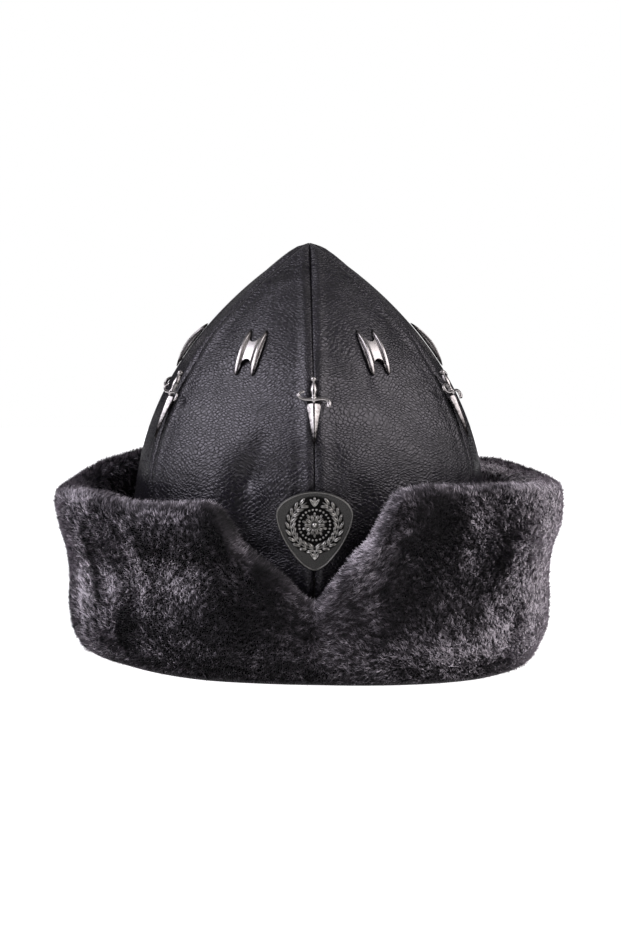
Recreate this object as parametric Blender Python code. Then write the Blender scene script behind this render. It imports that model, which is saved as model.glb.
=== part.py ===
"""A bork: a pointed winter hat of six leather gores with a turned-up fur cuff,
metal studs and a front badge. It stands on a surface by itself, cuff down.

Frame: metres, +Z up, the origin on the hat's axis at the height of the surface.
The front faces -Y. An azimuth is measured from the front, positive towards +X."""

import math

import bmesh
import bpy
import numpy as np
from mathutils import Matrix, Vector

MM = 0.001

# Crown: a cylinder to SPRING_Z, and above it a pointed dome up to APEX_Z. Its radius there is
# CROWN_R * (1 - u ** DOME_P) ** DOME_Q, where u runs from 0 at SPRING_Z to 1 at APEX_Z.
CROWN_R = 95.0 * MM
SPRING_Z = 63.0 * MM
APEX_Z = 218.6 * MM
DOME_P = 2.27
DOME_Q = 0.88
HEM_Z = 3.0 * MM
STRAIGHT_SHARE = 0.2
DOME_STEPS = 400
SMOOTH_BELOW_Z = 26.0 * MM
SEAMED_ABOVE_Z = 46.0 * MM
LEATHER = 2.5 * MM
GORES = 6
SEAM_GAP = 0.3 * MM
GROOVE_DEPTH = 1.5 * MM
PUFF_HEIGHT = 0.7 * MM
CREST_OFFSET = 3.5 * MM
CREST_FADE_R = 3 * CREST_OFFSET
CREST_MOST = 0.45
SEAM_EDGE = 0.999
TIP_R = 0.8 * MM
TIP_INNER_R = 0.48 * MM
CLEARANCE = 0.3 * MM

# How far the crown's cross-section has gone from a circle (0) to a hexagon (1). Below 0 the
# gores are rounder than the circle, and the seams lie deeper.
HEXAGON_COLUMNS = ("height_mm", "share")
HEXAGON_TABLE = (
    (0, 0.0), (26, 0.0), (63, 0.10), (88, 0.30), (103, 0.50), (158, 0.50), (178, 0.25),
    (196, -0.2), (208, -0.8), (220, -1.0),
)

# Dents in the leather: long hollows from one point of the crown to another.
DENT_COLUMNS = ("from_azimuth", "from_mm", "to_azimuth", "to_mm", "width_mm", "depth_mm")
DENT_TABLE = (
    (-17.0, 121, -25.0, 102, 4.5, 1.6),
    (-25.0, 102, -28.0, 70, 6.0, 2.2),
    (-13.0, 96, -14.0, 74, 9.0, 1.8),
    (-5.0, 116, -5.5, 84, 3.0, 1.2),
    (22.0, 152, 24.0, 140, 3.5, 0.8),
)

# Fur cuff. Its height follows the azimuth round the rim, low at the front notch.
RIM_COLUMNS = ("azimuth", "height_mm")
RIM_TABLE = (
    (-180, 96), (-150, 97.5), (-132, 99.5), (-117, 96.5), (-100, 90), (-80, 90), (-64, 92.5),
    (-54, 90.5), (-38, 92), (-27, 94), (-23.5, 91), (-21, 84), (-19, 73.5), (-13.5, 65),
    (-7, 55.5), (-3.5, 47), (0.5, 43), (3.3, 51), (8.7, 66), (13.4, 78), (16.8, 92),
    (19.9, 100), (27, 102.5), (39, 101), (56, 98.5), (80, 94), (95, 92), (108, 92.5),
    (120, 95), (135, 94), (180, 96),
)
FOOT_COLUMNS = ("azimuth", "radius_mm")
FOOT_TABLE = (
    (-180, 115), (-120, 117), (-87, 120), (-76, 116), (-60, 111), (-31, 109.5), (-15, 108),
    (0, 109.5), (8, 113), (22, 120), (30, 124), (40, 127), (53, 127), (74, 120), (90, 118),
    (130, 116), (180, 115),
)
SIDE_COLUMNS = ("height_mm", "bulge_mm")
SIDE_TABLE = (
    (0, 0), (3.5, 3.0), (8, 6.0), (16, 8.5), (28, 9.5), (43, 9.5), (54, 11), (64, 14),
    (74, 17.5), (82, 17.5), (90, 15), (103, 13),
)
SIDE_SHARES = (0.06, 0.17, 0.32, 0.49, 0.66, 0.83, 1.0)
EVEN_FOOT_R = 115.0 * MM
EVEN_SHARE = 0.5
EVEN_BY_Z = 74.0 * MM
CUFF_REACH = ((0, 1, 137.5 * MM), (0, -1, 137.5 * MM), (1, 1, 127.0 * MM), (1, -1, 123.5 * MM))
RIM_ROUND = 9.0 * MM
RIM_ASIDE = 0.72
RIM_DROP = 0.27
FOOT_INNER_R = CROWN_R + CLEARANCE
FUR_THICK = 21.0 * MM
THIN_SHARE = 0.8
THIN_RIM_Z = 43.0 * MM
FULL_RIM_Z = 90.0 * MM
CHANNEL_Z = 24.0 * MM
FRONT_STATIONS = 30
FRONT_FROM = -30.0
FRONT_TO = 24.0
REST_STATIONS = 72
SECTION_POINTS = 16
OUTSIDE_FROM = 2
RIM_FROM = 9
INSIDE_FROM = 12
LOCK_RELIEF = 1.1 * MM
LOCK_VARIATION = 0.4

# Bar studs, one in the middle of each gore: two bowed bars joined by a notched plate.
BAR_LENGTH = 28.0 * MM
BAR_WIDTH = 3.2 * MM
BAR_SPACING = 9.5 * MM
BAR_BOW = 1.0 * MM
BAR_RIDGE = 0.4 * MM
BAR_END_THICK = 0.5 * MM
BAR_MID_THICK = 1.5 * MM
BAR_Z = 164.0 * MM
BAR_LOW = 153.0 * MM
BAR_HIGH = 175.0 * MM
BAR_BEND_R = 190.0 * MM
PLATE_LENGTH = 16.0 * MM
PLATE_THICK = 1.0 * MM
PLATE_LIFT = 0.3 * MM
NOTCH_R = 2.8 * MM

# Dagger studs, one on each seam, measured along the blade from the guard.
DAGGER_Z = 141.5 * MM
DAGGER_LOW = 122.0 * MM
DAGGER_HIGH = 153.0 * MM
DAGGER_BEND_R = 220.0 * MM
DAGGER_COLUMNS = ("along_mm", "half_width_mm", "edge_mm", "spine_mm")
DAGGER_TABLE = (
    (12.9, 0.6, 0.9, 1.2), (11.9, 1.6, 1.1, 2.2), (10.5, 0.9, 1.0, 1.5),
    (7.0, 1.75, 1.0, 2.3), (2.6, 1.0, 1.0, 1.6), (1.5, 1.5, 1.1, 2.0),
    (0.0, 1.3, 1.2, 2.1), (-1.8, 1.3, 1.0, 1.8), (-2.3, 2.9, 1.0, 1.9),
    (-4.3, 3.4, 0.9, 2.0), (-12.0, 1.9, 0.8, 1.7), (-21.2, 0.3, 0.7, 0.9),
)
GUARD_COLUMNS = ("across_mm", "along_mm")
GUARD_TABLE = (
    (-5.0, 4.0), (-7.3, 3.9), (-8.1, 2.3), (-6.6, 1.0), (-4.5, 0.5), (0.0, 0.0),
    (4.5, -0.5), (6.6, -1.0), (8.1, -2.3), (7.3, -3.9), (5.0, -4.0),
)
GUARD_WIRE_R = 0.6 * MM
GUARD_LIFT = 1.3 * MM

# Badge: a plate like a plectrum, its widest line at BADGE_Z, with a raised rim and relief.
BADGE_Z = 86.0 * MM
BADGE_HALF_WIDTH = 19.5 * MM
BADGE_TOP = 9.7 * MM
BADGE_FOOT = 29.9 * MM
BADGE_PLATE = 1.5 * MM
BADGE_RIM_R = 0.55 * MM
BADGE_CORNER = -1.0 * MM
TOP_HANDLE = 0.54
CORNER_HANDLE_UP = 5.5 * MM
CORNER_HANDLE_DOWN = 10.0 * MM
FOOT_HANDLE = 7.5 * MM

# Its relief: petals, a middle and a ring of beads round ROSETTE_ALONG, two rows of leaves
# round those, and a bud above and below.
ROSETTE_ALONG = -6.5 * MM
RING_COLUMNS = ("count", "ring_mm", "first_degrees", "length_mm", "width_mm", "height_mm")
RING_TABLE = (
    (8, 3.4, 0, 3.4, 2.0, 1.0),
    (1, 0.0, 0, 2.6, 2.6, 1.4),
    (12, 7.0, 15, 1.7, 1.7, 0.7),
)
WREATH_R = 12.0 * MM
LEAVES = 7
LEAVES_FROM = -72.0
LEAVES_TO = 60.0
LEAF_LEAN = 0.45
LEAF_SIZE = (5.2 * MM, 2.3 * MM, 0.9 * MM)
BUD_COLUMNS = ("along_mm", "length_mm", "width_mm", "height_mm")
BUD_TABLE = ((6.2, 3.6, 2.4, 1.0), (-22.6, 5.0, 2.8, 1.0))

LEATHER_COLOUR = (0.012, 0.012, 0.016, 1.0)
FUR_COLOUR = (0.055, 0.050, 0.056, 1.0)
STUD_COLOUR = (0.42, 0.40, 0.39, 1.0)
BADGE_COLOUR = (0.16, 0.15, 0.14, 1.0)


def column(table, names, name):
    """One named column of a table, as an array."""
    return np.array([row[names.index(name)] for row in table], float)


def clear_scene():
    """Remove whatever objects the file opened with."""
    for obj in list(bpy.data.objects):
        bpy.data.objects.remove(obj, do_unlink=True)


def material(name, colour, roughness, metallic):
    """A plain finish of one colour."""
    made = bpy.data.materials.new(name)
    made.use_nodes = True
    shader = made.node_tree.nodes["Principled BSDF"]
    shader.inputs["Base Color"].default_value = colour
    shader.inputs["Roughness"].default_value = roughness
    shader.inputs["Metallic"].default_value = metallic
    return made


def add_part(name, mesh, finish, smooth_below=35.0):
    """Put a mesh in the hat's collection as a part with its own material."""
    if not mesh.materials:
        mesh.materials.append(finish)
    mesh.shade_smooth()
    mesh.set_sharp_from_angle(angle=math.radians(smooth_below))
    part = bpy.data.objects.new(name, mesh)
    bpy.data.collections["bork_hat"].objects.link(part)
    return part


def mapped_slab(name, columns, rows, place):
    """A closed slab: a grid extruded once, each corner moved to place(across, along, top).

    across and along run from -1 to 1, and top is True on the outer face."""
    bm = bmesh.new()
    bmesh.ops.create_grid(bm, x_segments=columns, y_segments=rows, size=1.0)
    copied = bmesh.ops.extrude_face_region(bm, geom=bm.faces[:], use_keep_orig=True)
    raised = {item for item in copied["geom"] if isinstance(item, bmesh.types.BMVert)}
    for vert in bm.verts:
        vert.co = place(vert.co.x, vert.co.y, vert in raised)
    bmesh.ops.recalc_face_normals(bm, faces=bm.faces[:])
    mesh = bpy.data.meshes.new(name)
    bm.to_mesh(mesh)
    bm.free()
    return mesh


def fused(name, meshes):
    """One mesh from several closed ones that overlap, by Boolean unions."""
    helpers = [bpy.data.objects.new(f"{name}_{i}", mesh) for i, mesh in enumerate(meshes)]
    for helper in helpers:
        bpy.context.scene.collection.objects.link(helper)
    for helper in helpers[1:]:
        join = helpers[0].modifiers.new("join", "BOOLEAN")
        join.operation = "UNION"
        join.use_self = True
        join.object = helper
    graph = bpy.context.evaluated_depsgraph_get()
    mesh = bpy.data.meshes.new_from_object(helpers[0].evaluated_get(graph))
    mesh.name = name
    for helper in helpers:
        bpy.data.objects.remove(helper, do_unlink=True)
    return mesh


def tube_mesh(name, points, radius, cyclic=False):
    """A closed tube of four rounded sides along points, as a mesh with welded caps."""
    curve = bpy.data.curves.new(name, "CURVE")
    curve.dimensions = "3D"
    curve.bevel_depth = radius
    curve.bevel_resolution = 0
    curve.use_fill_caps = not cyclic
    spline = curve.splines.new("POLY")
    spline.points.add(len(points) - 1)
    for point, co in zip(spline.points, points):
        point.co = (*co, 1.0)
    spline.use_cyclic_u = cyclic
    return mesh_of_curve(name, curve)


def mesh_of_curve(name, curve):
    """The mesh of a curve, with its doubled points merged."""
    holder = bpy.data.objects.new(name, curve)
    bpy.context.scene.collection.objects.link(holder)
    graph = bpy.context.evaluated_depsgraph_get()
    mesh = bpy.data.meshes.new_from_object(holder.evaluated_get(graph))
    bpy.data.objects.remove(holder, do_unlink=True)
    bm = bmesh.new()
    bm.from_mesh(mesh)
    bmesh.ops.remove_doubles(bm, verts=bm.verts[:], dist=0.00001)
    bmesh.ops.recalc_face_normals(bm, faces=bm.faces[:])
    bm.to_mesh(mesh)
    bm.free()
    return mesh


# Crown gores.

def outward(azimuth):
    """The horizontal direction away from the axis at an azimuth in degrees."""
    turn = math.radians(azimuth)
    return Vector((math.sin(turn), -math.cos(turn), 0.0))


def hexagon_share(z):
    """How far the crown's section at z has gone from a circle to a hexagon."""
    heights = column(HEXAGON_TABLE, HEXAGON_COLUMNS, "height_mm") * MM
    return float(np.interp(z, heights, column(HEXAGON_TABLE, HEXAGON_COLUMNS, "share")))


def dome_radius(z):
    """Radius of the crown at z, in the middle of a gore."""
    u = np.clip((np.asarray(z) - SPRING_Z) / (APEX_Z - SPRING_Z), 0.0, 1.0)
    return CROWN_R * (1.0 - u**DOME_P) ** DOME_Q


def dome_profile(inset):
    """Radius, height and slope angle up the dome, evenly spaced, inset below its outer face."""
    turn = np.linspace(0.0, math.pi / 2, 4 * DOME_STEPS)
    z = SPRING_Z + (APEX_Z - SPRING_Z) * np.sin(turn)
    r = dome_radius(z)
    slope = np.arctan2(-np.gradient(r), np.gradient(z))
    slope[0] = 0.0
    r = r - inset * np.cos(slope)
    z = z - inset * np.sin(slope)
    kept = r > (TIP_R if inset == 0 else TIP_INNER_R)
    r, z, slope = r[kept], z[kept], slope[kept]
    length = np.concatenate([[0.0], np.cumsum(np.hypot(np.diff(r), np.diff(z)))])
    even = np.linspace(0.0, length[-1], DOME_STEPS)
    return [np.interp(even, length, values) for values in (r, z, slope)]


def meridian(along, inset):
    """(radius, height, slope angle) on the middle of a gore.

    along runs from 0 at the hem to 1 at the tip, and inset is the depth below the outer face."""
    if along < STRAIGHT_SHARE:
        z = HEM_Z + (SPRING_Z - HEM_Z) * along / STRAIGHT_SHARE
        return CROWN_R - inset, z, 0.0
    share = (along - STRAIGHT_SHARE) / (1.0 - STRAIGHT_SHARE)
    steps = np.linspace(0.0, 1.0, DOME_STEPS)
    return tuple(float(np.interp(share, steps, values)) for values in DOMES[inset])


def on_leather(azimuth, z):
    """A place on the crown laid flat: the way round it at CROWN_R, and the height."""
    return Vector((math.radians(azimuth) * CROWN_R, z))


def dent(azimuth, z):
    """Depth of the leather's hollows at a place on the crown.

    Each is a trough along a line, and falls off as exp(-(distance / width) ** 2)."""
    total = 0.0
    here = on_leather(azimuth, z)
    for row in DENT_TABLE:
        hollow = dict(zip(DENT_COLUMNS, row))
        start = on_leather(hollow["from_azimuth"], hollow["from_mm"] * MM)
        run = on_leather(hollow["to_azimuth"], hollow["to_mm"] * MM) - start
        share = min(1.0, max(0.0, (here - start).dot(run) / run.length_squared))
        apart = (here - start - run * share).length
        total += hollow["depth_mm"] * MM * math.exp(-((apart / hollow["width_mm"] / MM) ** 2))
    return total


def gore_point(middle, across, along, inset, crest_at):
    """A point of the gore whose middle is at azimuth middle. across is -1 and 1 on its seams."""
    r, z, slope = meridian(along, inset)
    half = math.radians(180.0 / GORES)
    hexagon = hexagon_share(z)
    corner_r = r * (1.0 + hexagon * (1.0 / math.cos(half) - 1.0))
    edge = half - math.asin(min(0.9, SEAM_GAP / 2 / corner_r))
    crest = half - min(CREST_OFFSET / corner_r, CREST_MOST * half)
    side = abs(across)
    if side <= crest_at:
        turn = crest * side / crest_at
    else:
        turn = crest + (edge - crest) * (side - crest_at) / (1.0 - crest_at)
    turn = math.copysign(turn, across)
    reach = r * (1.0 + hexagon * (1.0 / math.cos(turn) - 1.0))
    # The seam's relief dies out where the gore narrows, and where the cuff hides it.
    fade = min(1.0, r / CREST_FADE_R)
    fade *= float(np.interp(z, [SMOOTH_BELOW_Z, SEAMED_ABOVE_Z], [0.0, 1.0]))
    if side > SEAM_EDGE:
        lift = -GROOVE_DEPTH * fade
    else:
        lift = PUFF_HEIGHT * fade * max(0.0, 1.0 - abs(side - crest_at) / (1.0 - crest_at))
    if inset:
        # The inner face follows the groove at half its depth, so the seam stays thick enough.
        lift = lift / 2 if side > SEAM_EDGE else 0.0
    azimuth = middle + math.degrees(turn)
    lift -= dent((azimuth + 180) % 360 - 180, z)
    out = outward(azimuth)
    normal = out * math.cos(slope) + Vector((0, 0, math.sin(slope)))
    return out * reach + Vector((0, 0, z)) + normal * lift


def add_gore(name, middle, columns, rows, finish):
    """One gore, its grid's last columns but one on the puffed crests beside the seams."""
    crest_at = 1.0 - 2.0 / columns

    def place(across, along, top):
        inset = 0.0 if top else LEATHER
        return gore_point(middle, across, (along + 1) / 2, inset, crest_at)

    add_part(name, mapped_slab(name, columns, rows, place), finish)


DOMES = {inset: dome_profile(inset) for inset in (0.0, LEATHER)}


# Fur cuff.

def cuff_stations():
    """Azimuths of the sections, closer together round the front notch."""
    front = np.linspace(FRONT_FROM, FRONT_TO, FRONT_STATIONS, endpoint=False)
    rest = np.linspace(FRONT_TO, FRONT_FROM + 360, REST_STATIONS, endpoint=False)
    return np.concatenate([front, rest])


def cuff_section(azimuth):
    """(radius, height) of the points round one section, from the inner hem outwards."""
    wrapped = (azimuth + 180) % 360 - 180
    rim_azimuth = column(RIM_TABLE, RIM_COLUMNS, "azimuth")
    rim = np.interp(wrapped, rim_azimuth, column(RIM_TABLE, RIM_COLUMNS, "height_mm")) * MM
    foot_azimuth = column(FOOT_TABLE, FOOT_COLUMNS, "azimuth")
    foot = np.interp(wrapped, foot_azimuth, column(FOOT_TABLE, FOOT_COLUMNS, "radius_mm")) * MM
    side_z = column(SIDE_TABLE, SIDE_COLUMNS, "height_mm") * MM
    bulge = column(SIDE_TABLE, SIDE_COLUMNS, "bulge_mm") * MM
    shoulder = rim - RIM_ROUND
    heights = shoulder * np.array(SIDE_SHARES)
    # Higher up, the uneven foot evens out towards a round.
    evening = EVEN_SHARE * np.minimum(heights / EVEN_BY_Z, 1.0)
    outer = foot + evening * (EVEN_FOOT_R - foot) + np.interp(heights, side_z, bulge)
    thick = FUR_THICK * np.interp(rim, [THIN_RIM_Z, FULL_RIM_Z], [THIN_SHARE, 1.0])
    top_in = max(outer[-1] - thick, FOOT_INNER_R + 2 * MM)
    middle = (outer[-1] + top_in) / 2
    half = (outer[-1] - top_in) / 2
    channel = min(CHANNEL_Z, 0.5 * shoulder)
    section = [(FOOT_INNER_R, 0.0), (foot, 0.0)]
    section += list(zip(outer, heights))
    side, edge = RIM_ASIDE * half, rim - RIM_DROP * RIM_ROUND
    section += [(middle + side, edge), (middle, rim), (middle - side, edge), (top_in, shoulder)]
    section += [((top_in + FOOT_INNER_R) / 2 + 1 * MM, (shoulder + channel) / 2)]
    section += [(FOOT_INNER_R + 0.8 * MM, channel), (FOOT_INNER_R, channel * 0.5)]
    return section


def cuff_points():
    """Every point of the cuff, station by station, with its locks raised and sunk in turn."""
    stations = cuff_stations()
    points = np.zeros((len(stations), SECTION_POINTS, 3))
    for i, azimuth in enumerate(stations):
        section = np.array(cuff_section(azimuth))
        # The sections in front stand closer, so a lock there is two of them wide.
        step = i // 2 if i < FRONT_STATIONS else i
        for j in range(OUTSIDE_FROM, INSIDE_FROM + 1):
            lock = LOCK_RELIEF * (1 if (step + j) % 2 else -1)
            lock *= 1 + LOCK_VARIATION * math.sin(2.3 * step + 1.7 * j)
            if RIM_FROM <= j < INSIDE_FROM:
                section[j, 1] += lock
            else:
                section[j, 0] += lock if j < RIM_FROM else -lock
        out = outward(azimuth)
        points[i, :, 0] = section[:, 0] * out.x
        points[i, :, 1] = section[:, 0] * out.y
        points[i, :, 2] = section[:, 1]
    return points


def fitted(points):
    """The cuff drawn to its reach on each side: only what lies outside the crown moves."""
    for axis, sign, reach in CUFF_REACH:
        edge = (points[..., axis] * sign).max()
        beyond = np.maximum(points[..., axis] * sign - CROWN_R, 0.0)
        stretch = (reach - CROWN_R) / (edge - CROWN_R) - 1.0
        points[..., axis] += sign * beyond * stretch
    return points


def add_cuff(finish):
    """The cuff: a torus whose points are moved to the sections, one ring of them a station."""
    stations = FRONT_STATIONS + REST_STATIONS
    bpy.ops.mesh.primitive_torus_add(
        major_segments=stations, minor_segments=SECTION_POINTS, major_radius=0.12, minor_radius=0.02
    )
    ring = bpy.context.object
    mesh = ring.data
    bpy.data.objects.remove(ring, do_unlink=True)
    mesh.name = "fur_cuff"
    mesh.vertices.foreach_set("co", fitted(cuff_points()).ravel())
    bm = bmesh.new()
    bm.from_mesh(mesh)
    bmesh.ops.recalc_face_normals(bm, faces=bm.faces[:])
    bm.to_mesh(mesh)
    bm.free()
    add_part("fur_cuff", mesh, finish)


# Studs and badge, each made flat: x across, y up the crown, z away from the leather.

def seam_radius(z):
    """Radius at a seam of the line that bridges the two puffed edges beside it."""
    r = float(dome_radius(z))
    aside = math.asin(CREST_OFFSET / r)
    corner = math.radians(180.0 / GORES) - aside
    crest = r * (1.0 + hexagon_share(z) * (1.0 / math.cos(corner) - 1.0))
    return crest * math.cos(aside) + PUFF_HEIGHT


def seat(azimuth, z, low, high, radius_at, bend):
    """The matrix that stands a piece on the crown at z, its back CLEARANCE off the leather.

    low and high are the heights of its ends, radius_at the crown below it, and bend the
    curvature of its back."""
    out = outward(azimuth)
    across = Vector((-out.y, out.x, 0.0))
    up = out * (radius_at(high) - radius_at(low)) + Vector((0, 0, high - low))
    up.normalize()
    normal = across.cross(up)
    base = out * radius_at(z) + Vector((0, 0, z))
    lift = 0.0
    for level in np.linspace(low, high, 9):
        apart = out * radius_at(level) + Vector((0, 0, level)) - base
        lift = max(lift, apart.dot(normal) + bend * apart.dot(up) ** 2 / 2)
    place = base + normal * (lift + CLEARANCE)
    return Matrix.Translation(place) @ Matrix((across, up, normal)).transposed().to_4x4()


def bar_stud_mesh():
    """Two bars that arch off the leather, ridged along the top, and the plate between them."""
    half = BAR_LENGTH / 2

    def bow(y):
        return BAR_BOW * math.cos(math.pi / 2 * y / half) - y * y / (2 * BAR_BEND_R)

    def bar(side):
        def place(across, along, top):
            y = along * half
            thick = BAR_END_THICK + (BAR_MID_THICK - BAR_END_THICK) * (1 - along**2)
            ridge = BAR_RIDGE * (1 - abs(across))
            z = bow(y) + (thick + ridge if top else 0.0)
            return Vector((side * BAR_SPACING / 2 + across * BAR_WIDTH / 2, y, z))

        return mapped_slab("bar", 2, 8, place)

    def plate(across, along, top):
        x = across * (BAR_SPACING / 2 - BAR_WIDTH / 4)
        notch = math.sqrt(max(0.0, NOTCH_R**2 - x**2))
        y = along * (PLATE_LENGTH / 2 - notch)
        return Vector((x, y, bow(y) + PLATE_LIFT + (PLATE_THICK if top else 0.0)))

    return fused("bar_stud", [bar(-1), bar(1), mapped_slab("plate", 6, 2, plate)])


def dagger_stud_mesh():
    """A ridged blade and grip from the table's widths and heights, and a bent wire as its guard."""
    along_at = column(DAGGER_TABLE, DAGGER_COLUMNS, "along_mm") * MM
    half_width = column(DAGGER_TABLE, DAGGER_COLUMNS, "half_width_mm") * MM
    edge = column(DAGGER_TABLE, DAGGER_COLUMNS, "edge_mm") * MM
    spine = column(DAGGER_TABLE, DAGGER_COLUMNS, "spine_mm") * MM
    rows = len(along_at) - 1

    def place(across, along, top):
        row = round((1 - along) / 2 * rows)
        y = along_at[row]
        height = edge[row] + (spine[row] - edge[row]) * (1 - abs(across))
        fall = y * y / (2 * DAGGER_BEND_R)
        return Vector((across * half_width[row], y, (height if top else 0.0) - fall))

    across = column(GUARD_TABLE, GUARD_COLUMNS, "across_mm") * MM
    along = column(GUARD_TABLE, GUARD_COLUMNS, "along_mm") * MM
    wire = [(x, y, GUARD_LIFT) for x, y in zip(across, along)]
    guard = tube_mesh("guard", wire, GUARD_WIRE_R)
    return fused("dagger_stud", [mapped_slab("blade", 2, rows, place), guard])


def badge_outline():
    """A closed flat curve round the badge, from four smooth points."""
    curve = bpy.data.curves.new("badge_outline", "CURVE")
    curve.dimensions = "2D"
    curve.fill_mode = "BOTH"
    curve.extrude = BADGE_PLATE / 2
    curve.resolution_u = 7
    wide = BADGE_HALF_WIDTH
    above = BADGE_CORNER + CORNER_HANDLE_UP
    below = BADGE_CORNER - CORNER_HANDLE_DOWN
    # Each row: point, the handle before it and the handle after it.
    points = (
        ((0, BADGE_TOP), (-TOP_HANDLE * wide, BADGE_TOP), (TOP_HANDLE * wide, BADGE_TOP)),
        ((wide, BADGE_CORNER), (wide, above), (wide, below)),
        ((0, -BADGE_FOOT), (FOOT_HANDLE, -BADGE_FOOT), (-FOOT_HANDLE, -BADGE_FOOT)),
        ((-wide, BADGE_CORNER), (-wide, below), (-wide, above)),
    )
    spline = curve.splines.new("BEZIER")
    spline.bezier_points.add(len(points) - 1)
    for point, (middle, before, after) in zip(spline.bezier_points, points):
        point.co = (*middle, 0)
        point.handle_left = (*before, 0)
        point.handle_right = (*after, 0)
    spline.use_cyclic_u = True
    return curve


def add_boss(bm, x, y, size, turn):
    """Add a low oval boss of size (length, width, height), its long side pointing along turn."""
    length, width, height = size
    shape = (
        Matrix.Translation((x, y, BADGE_PLATE))
        @ Matrix.Rotation(turn, 4, "Z")
        @ Matrix.Diagonal((length / 2, width / 2, height, 1.0))
    )
    bmesh.ops.create_icosphere(bm, subdivisions=1, radius=1.0, matrix=shape)


def badge_relief_mesh():
    """A rosette in a ring of beads, inside a wreath of leaves with a bud above and below."""
    bm = bmesh.new()
    for row in RING_TABLE:
        ring = dict(zip(RING_COLUMNS, row))
        size = [ring[name] * MM for name in ("length_mm", "width_mm", "height_mm")]
        for i in range(ring["count"]):
            turn = math.radians(ring["first_degrees"] + 360 * i / ring["count"])
            x = ring["ring_mm"] * MM * math.cos(turn)
            y = ROSETTE_ALONG + ring["ring_mm"] * MM * math.sin(turn)
            add_boss(bm, x, y, size, turn)
    for side in (-1, 1):
        for turn in np.radians(np.linspace(LEAVES_FROM, LEAVES_TO, LEAVES)):
            x = side * WREATH_R * math.cos(turn)
            y = ROSETTE_ALONG + WREATH_R * math.sin(turn)
            lean = math.atan2(math.cos(turn), -side * math.sin(turn)) - side * LEAF_LEAN
            add_boss(bm, x, y, LEAF_SIZE, lean)
    for row in BUD_TABLE:
        bud = dict(zip(BUD_COLUMNS, row))
        size = [bud[name] * MM for name in ("length_mm", "width_mm", "height_mm")]
        add_boss(bm, 0, bud["along_mm"] * MM, size, math.pi / 2)
    mesh = bpy.data.meshes.new("badge_relief")
    bm.to_mesh(mesh)
    bm.free()
    return mesh


def badge_mesh():
    """The plate with its raised rim and its relief, fused into one casting."""
    plate = mesh_of_curve("badge", badge_outline())
    plate.transform(Matrix.Translation((0, 0, BADGE_PLATE / 2)))
    top = [v.co for v in plate.vertices if v.co.z > BADGE_PLATE / 2]
    top.sort(key=lambda co: math.atan2(co.x, co.y - ROSETTE_ALONG))
    inside = 1 - BADGE_RIM_R / BADGE_HALF_WIDTH
    rim = [(co.x * inside, co.y * inside, BADGE_PLATE) for co in top]
    ring = tube_mesh("badge_rim", rim, BADGE_RIM_R, cyclic=True)
    return fused("badge", [plate, ring, badge_relief_mesh()])


def build():
    """Make every piece and stand it in its place."""
    clear_scene()
    parts = bpy.data.collections.new("bork_hat")
    bpy.context.scene.collection.children.link(parts)
    leather = material("black_leather", LEATHER_COLOUR, roughness=0.45, metallic=0.0)
    fur = material("grey_fur", FUR_COLOUR, roughness=0.95, metallic=0.0)
    stud = material("dark_nickel", STUD_COLOUR, roughness=0.25, metallic=1.0)
    pewter = material("antique_pewter", BADGE_COLOUR, roughness=0.45, metallic=1.0)

    # Each row: place, azimuth of the middle, columns and rows of the grid. The dents need more.
    gores = (
        ("front_left", -30, 12, 20), ("front_right", 30, 8, 15),
        ("side_right", 90, 8, 15), ("back_right", 150, 8, 15),
        ("back_left", -150, 8, 15), ("side_left", -90, 8, 15),
    )
    bar_mesh = bar_stud_mesh()
    for place, middle, columns, rows in gores:
        add_gore(f"crown_gore_{place}", middle, columns, rows, leather)
        bar = add_part(f"bar_stud_{place}", bar_mesh, stud)
        bar.matrix_world = seat(middle, BAR_Z, BAR_LOW, BAR_HIGH, dome_radius, 1 / BAR_BEND_R)

    seams = (
        ("front", 0), ("right_front", 60), ("right_back", 120),
        ("back", 180), ("left_back", -120), ("left_front", -60),
    )
    dagger_mesh = dagger_stud_mesh()
    for place, azimuth in seams:
        dagger = add_part(f"dagger_stud_{place}", dagger_mesh, stud)
        dagger.matrix_world = seat(
            azimuth, DAGGER_Z, DAGGER_LOW, DAGGER_HIGH, seam_radius, 1 / DAGGER_BEND_R
        )

    badge = add_part("badge", badge_mesh(), pewter)
    low, high = BADGE_Z - BADGE_FOOT, BADGE_Z + BADGE_TOP
    badge.matrix_world = seat(0, BADGE_Z, low, high, seam_radius, 0.0)
    add_cuff(fur)


build()
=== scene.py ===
"""The looks of a bork: a pointed hat of black leather gores with a turned-up grey fur cuff,
nickel studs and a pewter badge, standing on a pale floor.

Metres, +Z up, the hat's axis at the origin. The front faces -Y. An azimuth is measured in
degrees from the front, positive towards +X."""

import math

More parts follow.
